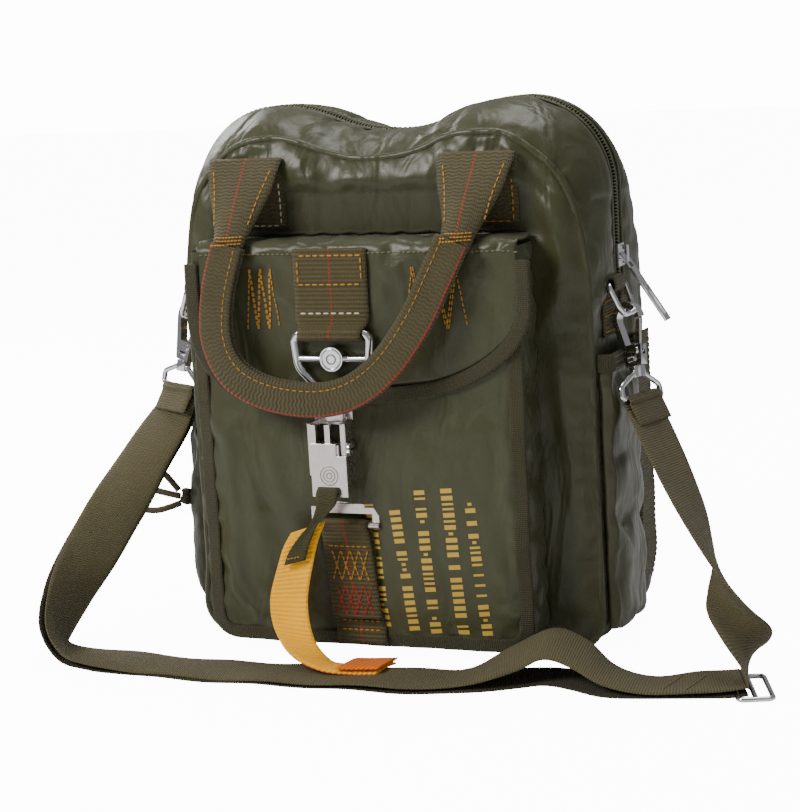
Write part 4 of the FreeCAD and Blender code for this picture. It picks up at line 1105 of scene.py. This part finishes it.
RIGHT_RUN = [((214, -98, 5), (0.34, -0.94, 0)), ((215, -94, 13), (0.1, -0.99, 0)),
             ((213, -90, 24), (-0.55, -0.8, 0.2)),
             ((209, -86, 34), (-0.97, -0.1, 0.2)), ((204, -82, 44), (-0.8, 0.6, 0.1)),
             ((196, -76, 60), (-0.3, 0.95, 0)),
             ((184, -66, 80), (0.05, 0.99, 0)), ((171, -55, 99), (0.22, 0.97, 0)),
             ((158, -43, 119), (0.28, 0.96, 0)),
             ((149.5, -34, 132), (0.28, 0.96, 0)), ((146.4, -30.9, 137), (0.28, 0.96, 0))]


def scaled(run, half):
    return [(c, tuple(Vector(h).normalized() * half)) for c, h in run]


def make_strap():
    half = 17.0
    upper = band("strap_upper_webbing", scaled(LEFT_RUN, half), 1.6, "strap", "bag", cuts=12, spacing=2.0,
                 under="strap", ripple=0.5, curl=lambda t: 1.0 * math.sin(t * 17),
                 stands_for=["strap_upper_run"])
    lower = []
    for i, (c, h) in enumerate(scaled(LEFT_RUN, half)):
        here = Vector(c)
        ahead = Vector(LEFT_RUN[min(i + 1, len(LEFT_RUN) - 1)][0]) - Vector(LEFT_RUN[max(i - 1, 0)][0])
        behind = ahead.cross(Vector(h)).normalized()
        if here.z < 30 and here.x > -165:
            lower.append(((c[0], c[1] + 1.5 * math.sin(i * 1.7), 1.3),
                          tuple(Vector((h[0], h[1], 0)).normalized() * half)))
        else:
            lower.append((tuple(here + behind * 3.0), h))
    # The lower run uses the darker strap copy: painted shade beneath the upper run.
    band("strap_lower_webbing", lower, 1.6, "strap_dark", "bag", cuts=12, spacing=2.0, ripple=0.4,
         under="strap_dark", stands_for=["strap_lower_run"])
    right = band("strap_right_webbing", scaled(RIGHT_RUN, half), 1.7, "strap", "bag", cuts=12, spacing=2.0,
                 curl=lambda t: 1.2 * math.sin(t * 6), under="strap", stands_for=["strap_right_run"])
    tree = bvh(upper)
    for x in (176, 188):
        stitch_lines(tree, [(x, -122, 12), (x + 5, -94, 12)], (0, 0, -1), "olive_thread", "bag", pitch=2.6,
                     length=2.0)
    for name, bar, across, run in (("left", Vector((-146, -19, 142.5)), Vector((0.86, -0.5, 0)),
                                    LEFT_RUN[1][0]),
                                   ("right", Vector((145.5, -30, 142)), Vector((0.28, 0.96, 0)),
                                    RIGHT_RUN[-2][0])):
        across.normalize()
        down = (Vector(run) - bar).normalized()
        down = (down - across * down.dot(across)).normalized()
        outward = across.cross(down).normalized()
        stations = []
        for k in range(13):
            angle = math.radians(-50 + 280 * k / 12)
            spot = bar + outward * 2.7 * math.cos(angle) - down * 2.7 * math.sin(angle)
            stations.append((tuple(spot), tuple(across * 16.2)))
        first = bar + down * 15 + outward * 0.8
        last = bar + down * 15 - outward * 0.8
        stations = [(tuple(first + outward * 1.2),
                     tuple(across * 16.2))] + stations + [(tuple(last - outward * 1.2), tuple(across * 16.2))]
        loop = band("strap_end_%s" % name, stations, 1.5, "strap", "bag", cuts=8, spacing=1.5)
        if name == "left":
            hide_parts("strap_end_loops")


# Sides --------------------------------------------------------------------------------------------

def make_sides(panels):
    for side, name in ((-1, "left"), (1, "right")):
        low = 133 if side < 0 else 20
        tree = bvh(panels[name + "_side_cloth"], panels["top_gusset_front_cloth"])
        inward = (-side, 0, 0)
        rows = []
        for z in [low + k * (170 - low) / 8 for k in range(9)]:
            x = onto(tree, (side * 128, 30, z), inward, 0.9).x
            rows.append(((side * min(max(abs(x), 125.8), 131), 30, z), (0, 16, 0)))
        strip = band("side_webbing_" + name, rows, 1.5, "side_webbing", "bag", cuts=12,
                     stands_for=["side_webbing"] if side > 0 else ())
        edge_tree = bvh(strip)
        for y in (16.5, 43.5):
            stitch_lines(edge_tree, [(side * 140, y, low + 2), (side * 140, y, 168)], inward, "olive_thread",
                         "bag")
        stations = []
        for x, y, z, half in ((1.0, -22, 176, 12), (1.0, -22, 190, 12), (1.2, -22, 198, 12),
                              (3.0, -20, 201.2, 10),
                              (6.6, -20, 201.6, 10), (7.6, -20, 205, 10), (6.4, -20, 208.6, 10),
                              (3.0, -20, 209.0, 10),
                              (1.6, -22, 211, 12), (1.2, -22, 220, 12)):
            stations.append(((side * (BODY_X + x), y, z), (0, half, 0)))
        ring = band("ring_webbing_" + name, stations, 1.5, "side_webbing", "bag", cuts=10, spacing=1.4,
                    stands_for=["ring_webbing"] if side > 0 else ())
        ring_tree = bvh(ring)
        for z in (179, 188, 196):
            stitch_lines(ring_tree, [(side * 140, -33, z), (side * 140, -11, z)], inward, "gold", "bag",
                         pitch=3.4)


def pouch_shape(side, y_low, y_high, z_low, z_high, out):
    """A closed box for a side pocket, ready for the cloth."""
    r = out * 0.45
    plan = [(0, y_low), (out - r, y_low), (out - 0.3 * r, y_low + 0.3 * r), (out, y_low + r),
            (out, y_high - r),
            (out - 0.3 * r, y_high - 0.3 * r), (out - r, y_high), (0, y_high)]
    verts, faces = [], []
    for z in (z_low, z_high):
        verts += [(side * (BODY_X + x), y, z) for x, y in plan]
    n = len(plan)
    faces = [tuple(range(n)), tuple(range(2 * n - 1, n - 1, -1))] + [(k, k + n, (k + 1) % n + n, (k + 1) % n)
                                                                     for k in range(n)]
    if side < 0:
        faces = [f[::-1] for f in faces]
    return remeshed(mesh_object("cloth_work", verts, faces, "nylon", None), 3.4)


def make_side_pockets():
    for side, name, (y_low, y_high), (z_low, z_high), out, bulge in (
            (1, "right_side_pocket", (-47, 12), (12, 163), 8, 2.5), (-1, "drawcord_pouch", (-22, 42),
                                                                     (12, 121), 22, 3.5)):
        obj = pouch_shape(side, y_low, y_high, z_low, z_high, out)
        rest = points_of(obj)
        far = np.abs(rest[:, 0]) - BODY_X
        pins = np.where((far < 2.5) | (rest[:, 2] > z_high - 4), 1.0, 0.0)
        simulate(obj, pins, 10.0, -0.05, cap=bulge, frames=20)
        points = crumple(points_of(obj), rest, 1.0, 0.05, 9.0 + side)
        points[:, 0] = side * np.maximum(np.abs(points[:, 0]), BODY_X + 0.3)
        outer = np.clip((far - out * 0.5) / (out * 0.4), 0, 1)
        gather = np.clip((rest[:, 2] - (z_high - 34)) / 30, 0, 1) * outer
        if side < 0:
            points[:, 0] -= side * gather * 5.0
            points[:, 0] += side * gather * 1.5 * np.sin(rest[:, 1] * 0.75)
        else:
            points[:, 0] += side * 0.8 * np.sin(rest[:, 2] * 0.16 + rest[:, 1] * 0.05) * outer
        points[:, 2] = np.maximum(points[:, 2], 6)
        set_points(obj, points)
        rest = refined(obj, rest)
        top = z_high - 1.5

        def rule(p):
            return None if p[2] > top or abs(p[0]) < BODY_X + 0.9 else name + "_cloth"

        made = split(obj, rest, rule, {name + "_cloth": [name]}, "bag")[name + "_cloth"]
        solid = made.modifiers.new("thickness", "SOLIDIFY")
        solid.thickness = 0.8 * MM
        tree = bvh(made)
        stations = []
        r = out * 0.45
        plan = [(0.8, y_low), (out - r, y_low), (out, y_low + r), (out, (y_low + y_high) / 2),
                (out, y_high - r), (out - r, y_high),
                (0.8, y_high)]
        for x, y in plan:
            shrink = 5.0 if side < 0 else 0.0
            stations.append(((side * (BODY_X + max(x - (shrink if x > 6 else 0), 0.8) + 0.4), y, z_high + 1),
                             (0, 0, 5)))
        rim = band(name + "_rim", stations, 2.0, "binding", "bag", cuts=6, spacing=2.0, ripple=0.4,
                   stands_for=["right_pocket_binding"] if side > 0 else ["drawcord_hem"])
        for lift in (-3.2, 0.0, 3.2):
            stitch(bvh(rim), [(side * (BODY_X + out + 14), y, z_high + 1 + lift)
                              for y in (y_low + 3, y_high - 3)],
                   (-side, 0, 0), "olive_thread", "bag", pitch=2.8, length=2.2)


def make_cords():
    routes = {"drawcord_loop": [(-156.6, -11, 77.5), (-161, -12, 84), (-168, -14, 92), (-177, -16, 97),
                                (-186, -17, 93),
                                (-185, -16, 84), (-176, -14, 79), (-166, -12, 76), (-156.3, -11, 74)],
              "drawcord_tail": [(-156.3, -11, 69.5), (-163, -13, 67), (-172, -16, 65), (-182, -18, 67),
                                (-190, -19, 73)]}
    verts, uvs = [], []
    for i in range(40):
        for k in range(10):
            turn = 2 * math.pi * i / 40
            angle = 2 * math.pi * k / 10
            big = 3.6 + 1.7 * math.cos(angle)
            wobble = 0.9 * math.sin(3 * turn)
            verts.append((-151.5 + 2.4 * math.sin(angle) + wobble, -11 + big * math.cos(turn),
                          74 + big * math.sin(turn)))
            uvs.append((k * 1.07, i * 0.57))
    knot = mesh_object("drawcord_knot_coil", verts, ring_faces(40, 10, True), "cord", "bag", uvs,
                       stands_for=["drawcord_knot"])
    for name, route in routes.items():
        data = bpy.data.curves.new(name + "_curve", "CURVE")
        data.dimensions = "3D"
        spline = data.splines.new("NURBS")
        spline.points.add(len(route) - 1)
        for point, place in zip(spline.points, route):
            point.co = (place[0] * MM, place[1] * MM, place[2] * MM, 1)
        spline.order_u = 3
        spline.use_endpoint_u = True
        data.bevel_depth = 2.0 * MM
        data.bevel_resolution = 4
        data.materials.append(MATERIALS["cord"])
        obj = bpy.data.objects.new(name + "_cord", data)
        bpy.context.collection.objects.link(obj)
        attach(obj, "bag")
        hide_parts(name)


# Print and metal details --------------------------------------------------------------------------

def make_print(pocket):
    """Abstract yellow bars in slanting columns where the pocket is printed."""
    tree = bvh(pocket["pocket_front_cloth"])
    rng = random.Random(21)
    verts, faces = [], []

    def patch(corners):
        start = len(verts)
        a, b, c, d = (Vector(p) for p in corners)
        n = 3
        for i in range(n + 1):
            for k in range(n + 1):
                spot = a.lerp(b, i / n).lerp(d.lerp(c, i / n), k / n)
                verts.append(onto(tree, spot, (0, 1, 0), 0.16))
        for i in range(n):
            for k in range(n):
                p = start + i * (n + 1) + k
                faces.append((p, p + n + 1, p + n + 2, p + 1))

    columns = [((6, 19), (0, 96), 6.4), ((24, 18), (16, 92), 6.4), ((37, 17), (31, 104), 6.4),
               ((53, 17), (47, 106), 6.8),
               ((67, 17), (60, 102), 6.0)]
    for (x0, z0), (x1, z1), wide in columns:
        low, high = Vector((x0, -84, z0)), Vector((x1, -84, z1))
        along = (high - low).normalized()
        across = Vector((along.z, 0, -along.x)) * (wide / 2)
        place, total = 0.0, (high - low).length
        while place + 6 < total:
            kind = rng.choice("bbbbhhd")
            tall = {"b": 2.6, "h": 1.3, "d": 1.6}[kind]
            a = low + along * place
            b = low + along * (place + tall)
            if kind in "bh":
                patch((a - across, a + across, b + across, b - across))
            else:
                patch((a - across * 0.4, a + across * 0.4, b + across * 0.4, b - across * 0.4))
            place += tall + (1.5 if rng.random() > 0.16 else 4.6)
    mesh_object("pocket_print", verts, faces, "print", "bag", smooth=True)


def ring_mark(name, centre, radius, thick, direction, material, body, slot):
    verts = []
    out = Vector(direction)
    side = out.cross(Vector((0, 0, 1))).normalized()
    up = side.cross(out)
    for i in range(32):
        angle = 2 * math.pi * i / 32
        spoke = side * math.cos(angle) + up * math.sin(angle)
        for k in range(6):
            turn = 2 * math.pi * k / 6
            place = Vector(centre) + spoke * (radius + thick * math.cos(turn))
            verts.append(place + out * thick * math.sin(turn))
    mesh_object(name, verts, ring_faces(32, 6, True), material, body, slot=slot)


def block(name, x, y, z, material, body, slot, bevel=0.4):
    verts = [(a, b, c) for a in x for b in y for c in z]
    faces = [(0, 1, 3, 2), (4, 6, 7, 5), (0, 4, 5, 1), (2, 3, 7, 6), (0, 2, 6, 4), (1, 5, 7, 3)]
    obj = mesh_object(name, verts, faces, material, body, smooth=False, slot=slot)
    modifier = obj.modifiers.new("bevel", "BEVEL")
    modifier.width = bevel * MM
    modifier.segments = 3
    return obj


def make_metalwork():
    front = (0, -1, 0)
    ring_mark("ring_disc_rim", (RING_X, -90.9, 173), 5.6, 0.45, front, "chrome", "v_ring", "chrome")
    ring_mark("ring_disc_inner", (RING_X, -90.9, 173), 2.6, 0.4, front, "engraving", "v_ring", "chrome")
    for radius in (1.6, 3.4, 5.2):
        ring_mark("plate_mark_%d" % (radius * 10), (RING_X - 1.7, -99.2, 109), radius, 0.3, front,
                  "engraving",
                  "snap_lever", "satin_metal")
    screw = (RING_X + 9.9, -91.5, 123)
    # Two thin dark plates stand for the screw's cross slot: painted shade of a recess that is not cut.
    block("screw_slot_a", (screw[0], screw[0] + 0.2), (-94.8, -88.2), (122.5, 123.5), "dark_metal", "snap",
          "satin_metal", 0.05)
    block("screw_slot_b", (screw[0], screw[0] + 0.2), (-92.0, -91.0), (119.8, 126.2), "dark_metal", "snap",
          "satin_metal", 0.05)
    block("snap_nose", (RING_X - 6.5, RING_X + 5), (-90.6, -86), (137.5, 145), "satin", "snap",
          "satin_metal", 1.6)
    chrome = ["v_ring", "zip_slider", "zip_pull", "left_d_ring", "right_d_ring", "slider_buckle"]
    chrome += [side + "_hook_" + part for side in ("left", "right")
               for part in ("loop", "body", "rivet", "gate")]
    satin = ["snap_frame", "snap_adapter", "snap_lever"]
    for names, material, width in ((chrome, "chrome", 0.35), (satin, "satin", 0.6),
                                   (["snap_screw"], "chrome", 0.3)):
        for name in names:
            obj = nodes[name]
            obj.data.materials.clear()
            obj.data.materials.append(MATERIALS[material])
            weld = obj.modifiers.new("weld", "WELD")
            weld.merge_threshold = 0.01 * MM
            bevel = obj.modifiers.new("bevel", "BEVEL")
            bevel.width = width * MM
            bevel.segments = 3
            bevel.limit_method = "ANGLE"
            bevel.angle_limit = math.radians(34)
            bevel.harden_normals = True


def finish_stitches():
    for (color, body), (verts, faces) in STITCHES.items():
        if verts:
            mesh_object("stitches_%s_%s" % (color, body), verts, faces, color, body,
                        slot="yellow_webbing" if color == "gold" else "olive_webbing")


# Floor, backdrop and lights -----------------------------------------------------------------------

def make_stage():
    data = bpy.data.meshes.new("floor")
    data.from_pydata([(-4, -4, 0), (4, -4, 0), (4, 6, 0), (-4, 6, 0)], [], [(0, 1, 2, 3)])
    floor = bpy.data.objects.new("floor", data)
    bpy.context.collection.objects.link(floor)
    s = Shader("floor", (0.86, 0.86, 0.86), 0.6, Specular_IOR_Level=0.2)
    s.put(s.out, "Emission Color", (1, 1, 1, 1))
    rays = s.tree.nodes.new("ShaderNodeLightPath")
    s.put(s.out, "Emission Strength", s.math("MULTIPLY", rays.outputs["Is Camera Ray"], 12.0))
    data.materials.append(s.material)
    world = bpy.data.worlds.new("world")
    bpy.context.scene.world = world
    world.use_nodes = True
    tree = world.node_tree
    rays = tree.nodes.new("ShaderNodeLightPath")
    pick = tree.nodes.new("ShaderNodeMix")
    pick.data_type = "FLOAT"
    tree.links.new(rays.outputs["Is Camera Ray"], pick.inputs[0])
    pick.inputs[2].default_value = 0.24
    pick.inputs[3].default_value = 14.0
    tree.links.new(pick.outputs[0], tree.nodes["Background"].inputs["Strength"])
    tree.nodes["Background"].inputs["Color"].default_value = (1, 1, 1, 1)
    for name, place, target, size, power, color in (
            ("key", (-1.1, -1.5, 1.5), (0, 0, 0.15), 0.8, 43, (1.0, 0.98, 0.95)),
            ("fill", (1.4, -1.3, 0.7), (0, 0, 0.15), 1.0, 1.2, (0.95, 0.98, 1.0)),
            ("top", (0.1, 0.3, 1.7), (0, 0, 0.2), 1.0, 16, (1, 1, 1)),
            ("rim", (-1.2, 0.9, 0.9), (0, 0, 0.2), 0.7, 9, (1, 1, 1))):
        light = bpy.data.lights.new(name, "AREA")
        light.size = size
        light.energy = power
        light.color = color
        obj = bpy.data.objects.new(name, light)
        obj.location = place
        obj.rotation_euler = (Vector(target) - Vector(place)).to_track_quat("-Z", "Y").to_euler()
        bpy.context.collection.objects.link(obj)


set_camera()
MATERIALS = make_materials()
make_cords()
panels = make_body()
make_piping()
make_zipper()
pocket = make_pocket()
flap = make_flap()
make_flap_webbing()
make_flap_stitches(flap)
make_lower_webbing(pocket)
make_print(pocket)
make_handle(-1, FRONT_GRIP, "front_handle", "front_handle", bvh(panels["front_panel_cloth"]))
make_handle(1, REAR_GRIP, "rear_handle", "rear_handle", bvh(panels["back_panel_cloth"]))
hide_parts("handle_patches")
make_release()
make_strap()
make_sides(panels)
make_side_pockets()
make_metalwork()
finish_stitches()
make_stage()
